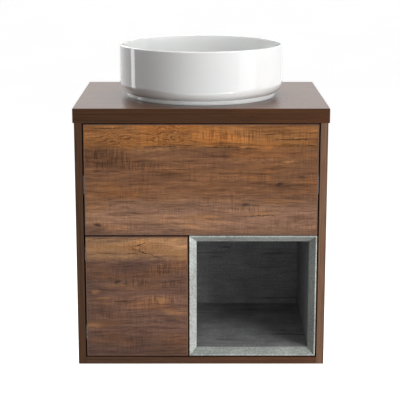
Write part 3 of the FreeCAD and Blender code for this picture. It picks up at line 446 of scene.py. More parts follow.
DOOR_MARKS = {
    "dark": (
        ((-0.160, 0.2350), (0.130, 0.0330), 0, 0.55),
        ((-0.245, 0.1300), (0.060, 0.0260), -8, 0.65),
        ((-0.070, 0.1130), (0.075, 0.0150), 0, 0.60),
        ((-0.175, 0.0700), (0.130, 0.0450), 4, 0.55),
        ((-0.080, 0.0450), (0.090, 0.0330), 0, 0.45),
        ((-0.250, 0.1620), (0.040, 0.0130), -12, 0.60),
    ),
    "knots": (
        ((-0.201, 0.2110), (0.013, 0.0060), -8, 0.9),
    ),
    "light": (
        ((-0.090, 0.2900), (0.110, 0.0150), 6, 0.9),
        ((-0.225, 0.2960), (0.090, 0.0140), -2, 0.8),
        ((-0.255, 0.1850), (0.014, 0.0075), 0, 0.8),
        ((-0.236, 0.1700), (0.030, 0.0040), -6, 0.7),
        ((-0.265, 0.0990), (0.026, 0.0090), 0, 0.8),
        ((-0.105, 0.1650), (0.050, 0.0130), 0, 0.7),
        ((-0.070, 0.1320), (0.030, 0.0090), 10, 0.6),
        ((-0.053, 0.1160), (0.009, 0.0030), 0, 0.9),
        ((-0.190, 0.2030), (0.070, 0.0080), -4, 0.35),
    ),
    "cracks": (
        ((-0.190, 0.1595), (0.032, 0.0012), 2.0, 0.8),
        ((-0.070, 0.1960), (0.040, 0.0012), 1.0, 0.8),
        ((-0.075, 0.2105), (0.038, 0.0008), -3.0, 0.6),
        ((-0.150, 0.3020), (0.024, 0.0012), -14.0, 0.8),
        ((-0.140, 0.2830), (0.026, 0.0014), 14.0, 0.8),
        ((-0.105, 0.2720), (0.030, 0.0011), 16.0, 0.6),
        ((-0.245, 0.3180), (0.026, 0.0009), -2.0, 0.7),
    ),
    "swirls": (
        ((-0.130, 0.2930), (0.090, 0.0250), 0, 0.8),
    ),
    "chatter": (
        ((-0.092, 0.2390), (0.062, 0.0230), 0, 1.0),
        ((-0.160, 0.2080), (0.050, 0.0140), 0, 0.8),
        ((-0.080, 0.2060), (0.060, 0.0150), 0, 0.6),
        ((-0.095, 0.1650), (0.062, 0.0170), 0, 1.0),
        ((-0.235, 0.1250), (0.060, 0.0200), 0, 0.5),
    ),
}


# Base colours of the fronts by height: (z in metres, tint, strength).
DRAWER_ZONES = (
    (0.3265, "mauve", 0.72), (0.3400, "mauve", 0.86), (0.3520, "mauve", 0.98), (0.3660, "mauve", 1.10),
    (0.3880, "mauve", 1.00), (0.4050, "mauve", 0.80), (0.4300, "brown", 1.06), (0.4900, "brown", 1.00),
    (0.5250, "brown", 0.96), (0.5390, "brown", 0.84), (0.5440, "golden", 0.72), (0.5560, "golden", 0.92),
    (0.5730, "golden", 1.00), (0.5860, "golden", 0.88), (0.5965, "golden", 0.84),
)
DOOR_ZONES = (
    (0.0215, "umber", 0.70), (0.0500, "umber", 0.90), (0.0700, "umber", 1.06), (0.0900, "umber", 1.28),
    (0.1100, "umber", 1.18), (0.1500, "umber", 1.28), (0.1700, "umber", 1.26), (0.1900, "umber", 1.04),
    (0.2400, "umber", 1.00), (0.2600, "umber", 1.12), (0.2720, "straw", 0.66), (0.2850, "straw", 0.84),
    (0.2990, "straw", 1.04), (0.3120, "straw", 0.90), (0.3230, "straw", 0.70),
)


def marks(graph, source, group):
    """The sum of a group of soft elliptic marks."""
    total = None
    for centre, size, turn, strength in group:
        one = graph.times(graph.spot(source, centre, size, turn), strength)
        total = one if total is None else graph.math("MAXIMUM", total, one)
    return total


def rustic_oak(name, colours, group, zones, sweep):
    """Rustic oak print with its figure along X. zones gives its base colours by height and sweep tones them
    along X, as painted light and shade across the front; over them lie streaks, a curled figure, saw marks,
    knots and cracks."""
    graph = Graph(name)
    wave = graph.noise(graph.stretch((3.4, 3.4, 10.0)), detail=3.0)
    swirl_zone = graph.band(marks(graph, graph.place, group["swirls"]), 0.0, 0.6)
    swirl = graph.noise(graph.stretch((30.0, 8.0, 48.0)), detail=2.0, distortion=0.8)
    lift = graph.swing(wave, 0.030)
    ripple = graph.noise(graph.stretch((13.0, 13.0, 30.0)), detail=2.0)
    lift = graph.add(lift, graph.swing(ripple, 0.011))
    curl = graph.times(graph.swing(swirl, 0.034), swirl_zone)
    level = graph.add(graph.z(), graph.add(lift, curl))
    warped = graph.vector(graph.x(), graph.y(), level)
    torn = graph.noise(graph.stretch((60.0, 60.0, 170.0)), detail=3.0, roughness=0.65)
    ragged = graph.swing(torn, 0.030)
    zone_level = graph.add(graph.z(), graph.add(graph.times(lift, 0.45), ragged))
    jittered = graph.vector(graph.x(), graph.y(), graph.add(graph.z(), graph.times(ragged, 0.30)))

    bottom, top = zones[0][0], zones[-1][0]
    stops = [
        ((height - bottom) / (top - bottom), shade_of(colours[tint_name], strength))
        for height, tint_name, strength in zones
    ]
    colour = graph.ramp(graph.band(zone_level, bottom, top, step="LINEAR"), stops)

    along = graph.band(graph.x(), -0.28, 0.28, step="LINEAR")
    colour = graph.blend(1.0, colour, graph.ramp(along, sweep), "MULTIPLY")
    streak = graph.noise(graph.stretch((8.0, 8.0, 140.0), source=warped), detail=4.0, roughness=0.66)
    thread = graph.noise(graph.stretch((30.0, 30.0, 470.0), source=warped), detail=3.0, roughness=0.62)
    cloud = graph.noise(graph.stretch((5.0, 5.0, 20.0), source=warped), detail=3.0)
    grain = graph.add(graph.times(streak, 0.58), graph.times(thread, 0.42))
    light_grain = graph.ramp(grain, [
        (0.36, (0.42, 0.38, 0.36, 1.0)),
        (0.45, (0.80, 0.78, 0.77, 1.0)),
        (0.50, (1.00, 1.00, 1.00, 1.0)),
        (0.56, (1.20, 1.20, 1.18, 1.0)),
        (0.66, (1.75, 1.70, 1.60, 1.0)),
    ])
    colour = graph.blend(1.0, colour, light_grain, "MULTIPLY")
    mauve = graph.toned(colour, (0.90, 0.91, 1.00))
    colour = graph.blend(graph.band(cloud, 0.42, 0.60), colour, mauve)
    ginger = graph.toned(colour, (1.22, 1.10, 0.92))
    colour = graph.blend(graph.band(cloud, 0.50, 0.36), colour, ginger)

    phase = graph.times(graph.add(level, graph.times(cloud, 0.016)), 1050.0)
    rings = graph.add(graph.times(graph.math("SINE", phase), 0.5), 0.5)
    rings = graph.times(graph.math("POWER", rings, 1.6), swirl_zone)
    dark_ring = graph.toned(colour, (0.50, 0.43, 0.36))
    colour = graph.blend(graph.times(rings, 0.85), colour, dark_ring)
    glint = graph.times(graph.band(rings, 0.12, 0.0), swirl_zone)
    colour = graph.blend(graph.times(glint, 0.35), colour, shade_of(colours["golden"], 1.55))

    honey = graph.times(marks(graph, jittered, group["light"]), 1.5)
    honey = graph.times(graph.math("MINIMUM", honey, 0.85), graph.band(torn, 0.34, 0.55))
    colour = graph.blend(honey, colour, shade_of(colours["honey"], 1.05))
    dark = graph.band(marks(graph, jittered, group["dark"]), 0.0, 0.80)
    broken = graph.band(graph.noise(graph.stretch((26.0, 26.0, 75.0)), detail=4.0), 0.36, 0.60)
    dark = graph.times(dark, graph.add(graph.times(broken, 0.6), 0.4))
    shadow = graph.toned(colour, (0.42, 0.40, 0.42))
    colour = graph.blend(dark, colour, shadow)

    bars = graph.noise(graph.stretch((400.0, 20.0, 34.0)), detail=1.0)
    bars_zone = graph.band(marks(graph, jittered, group["chatter"]), 0.05, 0.5)
    everywhere = graph.noise(graph.stretch((9.0, 9.0, 24.0)), detail=2.0)
    bars_zone = graph.math("MAXIMUM", bars_zone, graph.band(everywhere, 0.36, 0.66, 0.08, 0.46))
    bar_mask = graph.times(graph.band(bars, 0.48, 0.64), bars_zone)
    bar_dark = graph.toned(colour, (0.52, 0.48, 0.46))
    colour = graph.blend(graph.times(bar_mask, 0.80), colour, bar_dark)
    bar_light = graph.times(graph.band(bars, 0.50, 0.34), bars_zone)
    bar_bright = graph.toned(colour, (1.45, 1.38, 1.25))
    colour = graph.blend(graph.times(bar_light, 0.60), colour, bar_bright)

    pores = graph.noise(graph.stretch((85.0, 85.0, 900.0), source=warped), detail=1.0)
    pore_mask = graph.times(graph.band(pores, 0.58, 0.70), graph.band(streak, 0.35, 0.60))
    colour = graph.blend(graph.times(pore_mask, 0.50), colour, shade_of(colours["dark"], 0.65))
    knots = graph.band(marks(graph, jittered, group["knots"]), 0.05, 0.75)
    colour = graph.blend(graph.times(knots, 0.85), colour, shade_of(colours["dark"], 0.45))
    cracks = graph.band(marks(graph, jittered, group["cracks"]), 0.02, 0.40)
    colour = graph.blend(graph.times(cracks, 0.85), colour, shade_of(colours["dark"], 0.20))

    speck = graph.noise(graph.even(1400.0), detail=1.0)
    roughness = graph.add(graph.times(grain, 0.16), graph.band(speck, 0.2, 0.8, 0.42, 0.52))
    relief = graph.math("SUBTRACT", grain, graph.add(graph.times(pore_mask, 0.5), graph.times(cracks, 1.2)))
    relief = graph.math("SUBTRACT", relief, graph.times(bar_mask, 0.30))
    normal = graph.bump(relief, 0.00035, 0.75)
    normal = graph.bump(speck, 0.00004, 0.5, below=normal)
    return graph.finish(colour, roughness, normal, Specular_IOR_Level=0.20)


def plain_oak(name, colour, scale, satin, contrast=1.0, gloss=0.5):
    """Dark oak print with fine straight grain. scale stretches the grain: a small number along it."""
    graph = Graph(name)
    wave = graph.noise(graph.stretch([number * 0.06 for number in scale]), detail=2.0)
    warped = graph.nodes.new("ShaderNodeVectorMath")
    warped.operation = "MULTIPLY_ADD"
    graph.join(warped.inputs[0], graph.vector(wave, wave, wave))
    warped.inputs[1].default_value = [0.25 / number for number in scale]
    graph.join(warped.inputs[2], graph.place)
    source = warped.outputs[0]
    streak = graph.noise(graph.stretch(scale, source=source), detail=5.0, roughness=0.64)
    thread = graph.noise(graph.stretch([number * 4.5 for number in scale], source=source), detail=2.0)
    cloud = graph.noise(graph.stretch([max(number * 0.05, 1.5) for number in scale]), detail=3.0)
    grain = graph.add(graph.times(streak, 0.6), graph.times(thread, 0.4))
    base = graph.ramp(grain, [
        (0.28, shade_of(colour, 1.0 - 0.52 * contrast)),
        (0.45, shade_of(colour, 1.0 - 0.10 * contrast)),
        (0.57, shade_of(colour, 1.0 + 0.16 * contrast)),
        (0.72, shade_of(colour, 1.0 + 0.60 * contrast)),
    ])
    warm = graph.toned(base, (1.10, 0.96, 0.86))
    base = graph.blend(graph.band(cloud, 0.40, 0.62), base, warm)
    pores = graph.noise(graph.stretch([number * 7.0 for number in scale], source=source), detail=1.0)
    pore_mask = graph.band(pores, 0.60, 0.74)
    base = graph.blend(graph.times(pore_mask, 0.40), base, shade_of(colour, 0.35))
    speck = graph.noise(graph.even(1500.0), detail=1.0)
    roughness = graph.add(graph.times(grain, 0.12), graph.band(speck, 0.2, 0.8, satin - 0.06, satin + 0.03))
    relief = graph.math("SUBTRACT", grain, graph.times(pore_mask, 0.5))
    normal = graph.bump(relief, 0.00018, 0.6)
    normal = graph.bump(speck, 0.00003, 0.4, below=normal)
    return graph.finish(base, roughness, normal, Specular_IOR_Level=gloss)


def concrete(name, colour, inside_colour, front_y, split_y):
    """Concrete print: fine speckle and soft clouds, rubbed lighter along the lip at front_y, and darker and
    fibrous inside the cubby behind split_y; the darker inside is partly the print's own tone and partly
    painted shade of the cubby's interior."""
    graph = Graph(name)
    cloud = graph.noise(graph.even(11.0), detail=4.0, roughness=0.6)
    speckle = graph.noise(graph.even(260.0), detail=4.0, roughness=0.72)
    grit = graph.cells(graph.even(900.0))
    fibre = graph.noise(graph.stretch((14.0, 110.0, 150.0)), detail=5.0, roughness=0.66, distortion=0.9)
    tone = graph.add(graph.times(speckle, 0.62), graph.times(cloud, 0.38))
    face = graph.ramp(tone, [
        (0.38, shade_of(colour, 0.50)),
        (0.46, shade_of(colour, 0.84)),
        (0.53, shade_of(colour, 1.08)),
        (0.62, shade_of(colour, 1.50)),
    ])
    cool = graph.toned(face, (0.97, 1.0, 0.985))
    face = graph.blend(graph.band(cloud, 0.40, 0.60), face, cool)
    deep = graph.ramp(graph.add(graph.times(fibre, 0.25), graph.times(tone, 0.75)), [
        (0.38, shade_of(inside_colour, 0.42)),
        (0.47, shade_of(inside_colour, 0.84)),
        (0.54, shade_of(inside_colour, 1.20)),
        (0.64, shade_of(inside_colour, 1.90)),
    ])
    cracks = graph.band(graph.noise(graph.stretch((6.0, 60.0, 60.0)), detail=3.0, distortion=0.8), 0.62, 0.67)
    deep = graph.blend(graph.times(cracks, 0.65), deep, shade_of(inside_colour, 0.25))
    inside = graph.band(graph.y(), split_y - 0.0004, split_y + 0.0004)
    base = graph.blend(inside, face, deep)
    pits = graph.band(grit, 0.16, 0.05)
    pitted = graph.toned(base, (0.35, 0.35, 0.35))
    base = graph.blend(graph.times(pits, 0.6), base, pitted)
    rubbed = graph.toned(base, (1.30, 1.30, 1.30))
    base = graph.blend(graph.band(graph.y(), front_y + 0.0009, front_y + 0.0003), base, rubbed)
    roughness = graph.band(tone, 0.3, 0.7, 0.52, 0.72)
    raised = graph.add(tone, graph.times(graph.times(fibre, 0.5), inside))
    relief = graph.math("SUBTRACT", raised, graph.times(pits, 0.6))
    normal = graph.bump(relief, 0.00030, 0.8)
    return graph.finish(base, roughness, normal, Specular_IOR_Level=0.40)


# ---------------------------------------------------------------- ceramic, metal, rubber and plastic
def glazed_ceramic(name, colour):
    """White vitreous glaze: a deep gloss with faint orange peel and a trace of warmth in the body."""
    graph = Graph(name)
    cloud = graph.noise(graph.even(9.0), detail=3.0)
    base = graph.ramp(cloud, [(0.35, shade_of(colour, 0.975)), (0.65, shade_of(colour, 1.0))])
    specks = graph.band(graph.noise(graph.even(620.0), detail=1.0), 0.79, 0.86)
    base = graph.blend(graph.times(specks, 0.18), base, (0.45, 0.42, 0.38, 1.0))
    peel = graph.noise(graph.even(55.0), detail=2.0)
    fine = graph.noise(graph.even(420.0), detail=1.0)
    roughness = graph.add(graph.times(cloud, 0.03), graph.times(fine, 0.025))
    normal = graph.bump(graph.add(peel, graph.times(fine, 0.12)), 0.00012, 0.35)
    return graph.finish(base, graph.add(roughness, 0.025), normal, Coat_Weight=1.0, Coat_Roughness=0.02,
                        IOR=1.52, Subsurface_Weight=0.06, Subsurface_Scale=0.01)


def bright_metal(name, colour, smooth, brushed=0.0, scale=(300.0, 300.0, 300.0)):
    """Plated metal: wipe marks, faint pitting and edges brightened by wear."""
    graph = Graph(name)
    smear = graph.noise(graph.even(38.0), detail=4.0, distortion=0.7)
    line = graph.noise(graph.stretch(scale), detail=3.0)
    pits = graph.band(graph.cells(graph.even(800.0)), 0.10, 0.03)
    base = graph.ramp(smear, [(0.35, shade_of(colour, 0.90)), (0.65, shade_of(colour, 1.0))])
    base = graph.blend(graph.times(pits, 0.25), base, shade_of(colour, 0.45))
    base = graph.blend(graph.times(graph.edges(0.02), 0.4), base, shade_of(colour, 1.2))
    spread = graph.times(graph.math("SUBTRACT", smear, 0.4), 0.16)
    wiped = graph.add(spread, graph.times(line, 0.10 * brushed + 0.02))
    roughness = graph.math("MAXIMUM", graph.add(wiped, smooth), 0.03)
    normal = graph.bump(graph.math("SUBTRACT", line, pits), 0.00004 + 0.00010 * brushed, 0.5)
    return graph.finish(base, roughness, normal, Metallic=1.0)


def moulded(name, colour, rough, grain=900.0):
    """Moulded rubber or plastic with a fine spark-eroded texture and rubbed edges."""
    graph = Graph(name)
    texture = graph.noise(graph.even(grain), detail=3.0)
    cloud = graph.noise(graph.even(24.0), detail=3.0)
    base = graph.ramp(cloud, [(0.3, shade_of(colour, 0.84)), (0.7, shade_of(colour, 1.12))])
    base = graph.blend(graph.times(graph.edges(0.02), 0.35), base, shade_of(colour, 1.5))
    roughness = graph.band(texture, 0.3, 0.7, rough - 0.07, rough + 0.07)
    return graph.finish(base, roughness, graph.bump(texture, 0.00010, 0.6))


def melamine(name, colour):
    """Light grey melamine of the drawer box: a faint linen print under a pearl finish."""
    graph = Graph(name)
    across = graph.noise(graph.stretch((30.0, 30.0, 1100.0)), detail=2.0)
    along = graph.noise(graph.stretch((1100.0, 1100.0, 30.0)), detail=2.0)
    weave = graph.add(graph.times(across, 0.5), graph.times(along, 0.5))
    cloud = graph.noise(graph.even(6.0), detail=3.0)
    base = graph.ramp(weave, [(0.35, shade_of(colour, 0.86)), (0.65, shade_of(colour, 1.10))])
    base = graph.blend(graph.times(graph.band(cloud, 0.45, 0.65), 0.3), base, shade_of(colour, 0.88))
    roughness = graph.band(weave, 0.3, 0.7, 0.38, 0.50)
    return graph.finish(base, roughness, graph.bump(weave, 0.00008, 0.6))


def fibreboard(name, colour):
    """Raw fibreboard: felted fibres with dark flecks."""
    graph = Graph(name)
    felt = graph.noise(graph.even(240.0), detail=6.0, roughness=0.7, distortion=1.2)
    flecks = graph.band(graph.noise(graph.stretch((500.0, 160.0, 160.0)), detail=1.0), 0.64, 0.72)
    base = graph.ramp(felt, [(0.32, shade_of(colour, 0.70)), (0.66, shade_of(colour, 1.25))])
    base = graph.blend(graph.times(flecks, 0.5), base, shade_of(colour, 0.40))
    return graph.finish(base, graph.band(felt, 0.3, 0.7, 0.70, 0.88), graph.bump(felt, 0.00030, 0.8))


def beech(name, colour):
    """Pale beech of the fluted dowels, with its short dark rays."""
    graph = Graph(name)
    grain = graph.noise(graph.stretch((60.0, 900.0, 900.0)), detail=3.0)
    rays = graph.band(graph.noise(graph.stretch((200.0, 1500.0, 1500.0)), detail=1.0), 0.62, 0.70)
    base = graph.ramp(grain, [(0.35, shade_of(colour, 0.82)), (0.65, shade_of(colour, 1.12))])
    base = graph.blend(graph.times(rays, 0.5), base, shade_of(colour, 0.45))
    return graph.finish(base, graph.band(grain, 0.3, 0.7, 0.60, 0.75), graph.bump(grain, 0.00012, 0.6))


# ---------------------------------------------------------------- settings
def size(name, description, default):
    """A length in metres."""
    return bpy.props.FloatProperty(
        name=name, description=description, default=default, unit="LENGTH", min=0.0
    )


def amount(name, description, default):
    """A plain positive number."""
    return bpy.props.FloatProperty(name=name, description=description, default=default, min=0.0)


def tint(name, description, default):
    """A linear colour."""
    return bpy.props.FloatVectorProperty(
        name=name, description=description, default=default, subtype="COLOR", size=3, min=0.0, max=1.0
    )


class VanityBasinSizes(bpy.types.PropertyGroup):
    """The basin's section."""

    rim: size("Rim thickness", "Thickness of the wall at the rim", 0.0065)
    taper: size("Wall taper", "How much thicker the wall is at its foot", 0.001)
    corner: size("Outer corner", "Radius of the lower outer corner", 0.028)
    inner_corner: size("Inner corner", "Radius between the wall and the bowl's floor", 0.048)
    foot_inset: size("Foot inset", "How far the foot ring stands in from the wall", 0.018)
    foot_width: size("Foot width", "Width of the foot ring", 0.014)
    foot_height: size("Foot height", "Height of the foot ring", 0.0065)
    groove_depth: size("Groove depth", "Depth of the shadow groove over the foot", 0.0025)
    groove_gap: size("Groove gap", "Height of the shadow groove over the foot", 0.0015)
    recess: size("Recess", "Height of the hollow under the bowl", 0.012)
    floor: size("Floor level", "Height of the bowl's floor at the inner corner", 0.030)
    floor_fall: size("Floor fall", "How far the floor falls to the waste", 0.004)
    seat: size("Seat level", "Height of the seat for the waste's flange", 0.024)
    seat_radius: size("Seat radius", "Radius of the seat for the waste's flange", 0.034)
    hole_radius: size("Waste hole radius", "Radius of the hole for the waste", 0.023)


class VanityBoardSizes(bpy.types.PropertyGroup):
    """Edges of the boards."""

    arris: size("Arris", "Width of the eased edges", 0.0007)
    worktop_arris: size("Worktop arris", "Width of the worktop's eased edges", 0.0012)
    edging: size("Edging", "Thickness of the edge band", 0.0010)
    edging_step: size("Edging step", "Depth of the fine line beside the edge band", 0.00012)
    cubby_lip: size("Cubby lip", "Width of the cubby's flat front lip", 0.003)


class VanityColours(bpy.types.PropertyGroup):
    """Colours of the finishes."""

    golden: tint("Golden oak", "Sapwood band of the drawer front", (0.330, 0.138, 0.042))
    straw: tint("Straw oak", "Sapwood band of the door", (0.440, 0.235, 0.113))
    honey: tint("Honey oak", "Light streaks of the fronts", (0.340, 0.165, 0.070))
    brown: tint("Brown oak", "Heartwood of the drawer front", (0.195, 0.088, 0.039))
    mauve: tint("Greyed oak", "Lower part of the drawer front", (0.275, 0.145, 0.083))
    umber: tint("Umber oak", "Heartwood of the door", (0.148, 0.075, 0.048))
    dark: tint("Dark oak", "Knots and pores of the fronts", (0.060, 0.030, 0.020))
    board: tint("Carcass oak", "Dark oak of the cabinet's boards", (0.078, 0.038, 0.021))
    worktop: tint("Worktop oak", "Dark oak of the worktop", (0.056, 0.023, 0.010))
    concrete: tint("Concrete", "Front of the cubby", (0.385, 0.400, 0.376))
    # The slate tone of the cubby's inside is darker partly as painted shade of the interior.
    slate: tint("Slate", "Inside of the cubby", (0.190, 0.190, 0.193))
    glaze: tint("Glaze", "Ceramic of the basin", (0.725, 0.732, 0.728))
    chrome: tint("Chrome", "Waste and trap", (0.800, 0.810, 0.830))
    zinc: tint("Zinc", "Runners and brackets", (0.560, 0.570, 0.600))
    nickel: tint("Nickel", "Hinges", (0.640, 0.620, 0.580))
    screw: tint("Screw steel", "Screws and springs", (0.600, 0.590, 0.550))
    rubber: tint("Rubber", "Seals", (0.025, 0.025, 0.026))
    grey_plastic: tint("Grey plastic", "Latch housings", (0.160, 0.165, 0.170))
    pale_plastic: tint("Pale plastic", "Latch plungers", (0.620, 0.615, 0.590))
    drawer: tint("Drawer grey", "Drawer box", (0.420, 0.425, 0.420))
    fibre: tint("Fibreboard", "Back panel", (0.250, 0.185, 0.130))
    beech: tint("Beech", "Dowels", (0.560, 0.380, 0.220))


class VanityStageSettings(bpy.types.PropertyGroup):
    """Floor, lights and camera."""

    drop: size("Drop", "How far the floor lies under the cabinet", 0.24)
    floor_size: size("Floor size", "Side of the floor", 60.0)
    floor_colour: tint("Floor colour", "Plain pale floor", (0.86, 0.86, 0.86))
    world_light: amount("World light", "Strength of the even light from all round", 0.135)
    world_look: amount("World look", "How bright the world is where it shows", 1.0)
    fill_power: amount("Fill lights", "Power of the front fill, in watts", 6.0)
    key_power: amount("Key light", "Power of the soft key light, in watts", 76.0)
    floor_glow: amount("Floor glow", "How bright the floor is by itself", 0.80)
    lens: size("Focal length", "Focal length on a 36 mm sensor", 0.10763)


# How the oak print's grain is stretched along X, Y and Z: a small number along the grain.
GRAIN_UPRIGHT = (190.0, 190.0, 4.0)
GRAIN_LEVEL = (4.0, 190.0, 190.0)
GRAIN_WORKTOP = (4.0, 210.0, 210.0)
GRAIN_EDGING = (60.0, 300.0, 60.0)
# The carcass boards' finish: mean roughness, strength of the grain, and specular level.
BOARD_SATIN = 0.46
BOARD_CONTRAST = 1.35
BOARD_GLOSS = 0.14
# Each side panel's tone against the carcass oak, as red, green and blue factors: painted light, the right
# panel lighter and bluer and the left darker, as the key light from the right falls on them.
SIDE_PAINTED_LIGHT = {"left": (0.95, 0.95, 0.88), "right": (1.87, 2.35, 2.80)}


def colours():
    """The scene's colour settings."""
    return bpy.context.scene.vanity_colours


def material(name, make, *values, **named):
    """The material of this name, made the first time that it is asked for."""
    found = bpy.data.materials.get(name)
    return found or make(name, *values, **named)


def board_material(factors=(1.0, 1.0, 1.0)):
    """Upright boards, their tone multiplied by factors. For the side panels these factors are painted light:
    the right panel lighter than the left, as the key light from the right falls on it.
    """
    tone = [part * factor for part, factor in zip(colours().board, factors)]
    name = "oak_board_%d" % (100 * factors[0])
    return material(name, plain_oak, tone, GRAIN_UPRIGHT, BOARD_SATIN, BOARD_CONTRAST, BOARD_GLOSS)


def flat_board_material():
    tone = colours().board
    return material("oak_board_level", plain_oak, tone, GRAIN_LEVEL, BOARD_SATIN, BOARD_CONTRAST, BOARD_GLOSS)


def edging_material():
    tone = shade_of(colours().umber, 0.85)[:3]
    return material("oak_edging", plain_oak, tone, GRAIN_EDGING, 0.40, 0.6)


def concrete_material(side):
    """The cubby's print, with each wall's tone scaled as painted light and shade: the bevel that faces the
    key light from the right lighter, the others darker, and each inside wall lighter or darker for the light
    that reaches it.
    """
    low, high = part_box("cubby_left")
    wall = high.x - low.x
    split = low.y + wall - bpy.context.scene.vanity_boards.cubby_lip
    front, inside = CONCRETE_PAINTED_LIGHT[side]
    outer_tone = shade_of(colours().concrete, front)
    inner_tone = shade_of(colours().slate, inside)
    return material("concrete_print_" + side, concrete, outer_tone, inner_tone, low.y, split)


CUBBY_ARRIS = 0.00045
BACK_ARRIS = 0.0005
# For each wall of the cubby: the tone of its front bevel, and of its inside. Both are painted light and
# shade: the left bevel, facing the key light from the right, lighter and the others darker, and each inside
# wall lighter or darker for the light that reaches it.
CONCRETE_PAINTED_LIGHT = {
    "left": (1.08, 0.74),
    "right": (0.86, 1.20),
    "top": (0.86, 1.00),
    "bottom": (0.72, 1.45),
    "back": (1.00, 1.15),
}


# ---------------------------------------------------------------- basin
def basin_outline(sizes, outer, height):
    """The basin's section as (radius, height) points, from the foot round the rim to the waste hole."""
    foot = outer - sizes.foot_inset
    neck = foot - sizes.groove_depth
    corner = (outer - sizes.corner, sizes.foot_height + sizes.groove_gap + sizes.corner)
    neck_drop = math.sqrt(sizes.corner ** 2 - (neck - corner[0]) ** 2)
    neck_turn = math.degrees(math.atan2(-neck_drop, neck - corner[0]))
    round_rim = sizes.rim / 2
    inner_low = outer - sizes.rim - sizes.taper
    inner = (inner_low - sizes.inner_corner, sizes.floor + sizes.inner_corner)
    small = 0.0008
    points = [(foot - small, 0.0)]
    points += arc((foot - small, small), small, -90, 0, 3)
    points += [(foot, sizes.foot_height - small)]
    points += arc((foot - small, sizes.foot_height - small), small, 0, 90, 3)
    points += [(neck, sizes.foot_height), (neck, corner[1] - neck_drop)]
    points += arc(corner, sizes.corner, neck_turn, 0, 18)
    wall_top = height - round_rim
    points += [(outer, corner[1] + (wall_top - corner[1]) * share) for share in (0.33, 0.66, 1.0)]
    points += arc((outer - round_rim, wall_top), round_rim, 0, 180, 10)
    top = (outer - sizes.rim, wall_top)
    points += [
        (top[0] + (inner_low - top[0]) * share, top[1] + (inner[1] - top[1]) * share) for share in (0.5, 1.0)
    ]
    points += arc(inner, sizes.inner_corner, 0, -90, 18)
    rise = sizes.seat_radius + 0.004
    points += [
        (rise + (inner[0] - rise) * share, sizes.floor - sizes.floor_fall * (1 - share))
        for share in (0.6, 0.25)
    ]
    points += [
        (rise + small, sizes.floor - sizes.floor_fall + small * 0.1),
        (rise - small, sizes.floor - sizes.floor_fall - small * 0.6),
        (sizes.seat_radius, sizes.seat),
        (sizes.hole_radius + small, sizes.seat),
        (sizes.hole_radius, sizes.seat - small),
        (sizes.hole_radius, sizes.recess),
        (foot - sizes.foot_width, sizes.recess),
        (foot - sizes.foot_width, small),
        (foot - sizes.foot_width + small, 0.0),
    ]
    return points


class VanityAddBasin(bpy.types.Operator):
    """Turn the round ceramic basin"""

    bl_idname = "vanity.add_basin"
    bl_label = "Basin"

    def execute(self, context):
        low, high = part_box("basin")
        outline = basin_outline(context.scene.vanity_basin, (high.x - low.x) / 2, high.z - low.z)
        piece = lathe("vessel_basin", outline, 160, low.z)
        round_shade(piece, 50)
        dress(piece, material("white_glaze", glazed_ceramic, colours().glaze))
        finish_piece(piece, "cabinet", "white_ceramic", "basin")
        return {"FINISHED"}


# ---------------------------------------------------------------- boards
def banded_board(name, low, high, face_axis, sizes):
    """A laminated board: eased edges, and a fine sunk line round each broad face beside the edge band.
    Slot 0 is the broad faces, slot 1 the edge band."""
    piece = block(name, low, high)
    axis = Vector([1.0 if number == face_axis else 0.0 for number in range(3)])
    edging, step, arris = sizes.edging, sizes.edging_step, sizes.arris
    bevel(piece, arris, 3)
    open_mesh(piece)
    pick_faces(piece, lambda centre, normal: abs(normal.dot(axis)) > 0.999)
    bpy.ops.mesh.inset(thickness=edging, use_individual=True)
    bpy.ops.mesh.inset(thickness=GROOVE, depth=-step, use_individual=True)
    bpy.ops.mesh.inset(thickness=GROOVE, depth=step, use_individual=True)
    close_mesh()
    inner = edging + 0.0002
    low, high = Vector(low), Vector(high)
    others = [number for number in range(3) if number != face_axis]
    for face in piece.data.polygons:
        inside = all(low[n] + inner + arris < face.center[n] < high[n] - inner - arris for n in others)
        face.material_index = 0 if inside and abs(face.normal.dot(axis)) > 0.9 else 1
    shade(piece)
    return piece


class VanityAddWorktop(bpy.types.Operator):
    """Build the worktop, drilled for the waste"""

    bl_idname = "vanity.add_worktop"
    bl_label = "Worktop"

    def execute(self, context):
        low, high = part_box("worktop")
        piece = block("oak_worktop", low, high)
        drill = cylinder("drill", WORKTOP_HOLE, low.z - DRILL_OVERRUN, high.z + DRILL_OVERRUN, 64)
        look_at(piece)
        cut = piece.modifiers.new("hole", "BOOLEAN")
        cut.object = drill
        cut.operation = "DIFFERENCE"
        cut.solver = "EXACT"
        bpy.ops.object.modifier_apply(modifier=cut.name)
        bpy.data.objects.remove(drill)
        bevel(piece, context.scene.vanity_boards.worktop_arris, 4)
        for face in piece.data.polygons:
            square = max(abs(part) for part in face.normal) > 0.98
            face.material_index = 2 if not square else 0 if abs(face.normal.z) > 0.9 else 1
        shade(piece)
        grain = GRAIN_WORKTOP
        tone = colours().worktop
        top = material("oak_worktop_print", plain_oak, shade_of(tone, 1.3)[:3], grain, 0.24, 1.0, 0.95)
        sawn = [part * factor for part, factor in zip(tone, (1.10, 1.22, 1.34))]
        edge = material("oak_worktop_edging", plain_oak, sawn, grain, 0.50, 1.2, 0.10)
        # Painted highlight: the eased arris gets a print twice as light as the worktop, standing in for the
        # catch light along its rounded edge.
        arris_highlight = material("oak_worktop_arris", plain_oak, shade_of(tone, 2.0)[:3], grain, 0.38, 0.8, 0.40)
        dress(piece, top, edge, arris_highlight)
        finish_piece(piece, "cabinet", "worktop_board", "worktop")
        return {"FINISHED"}


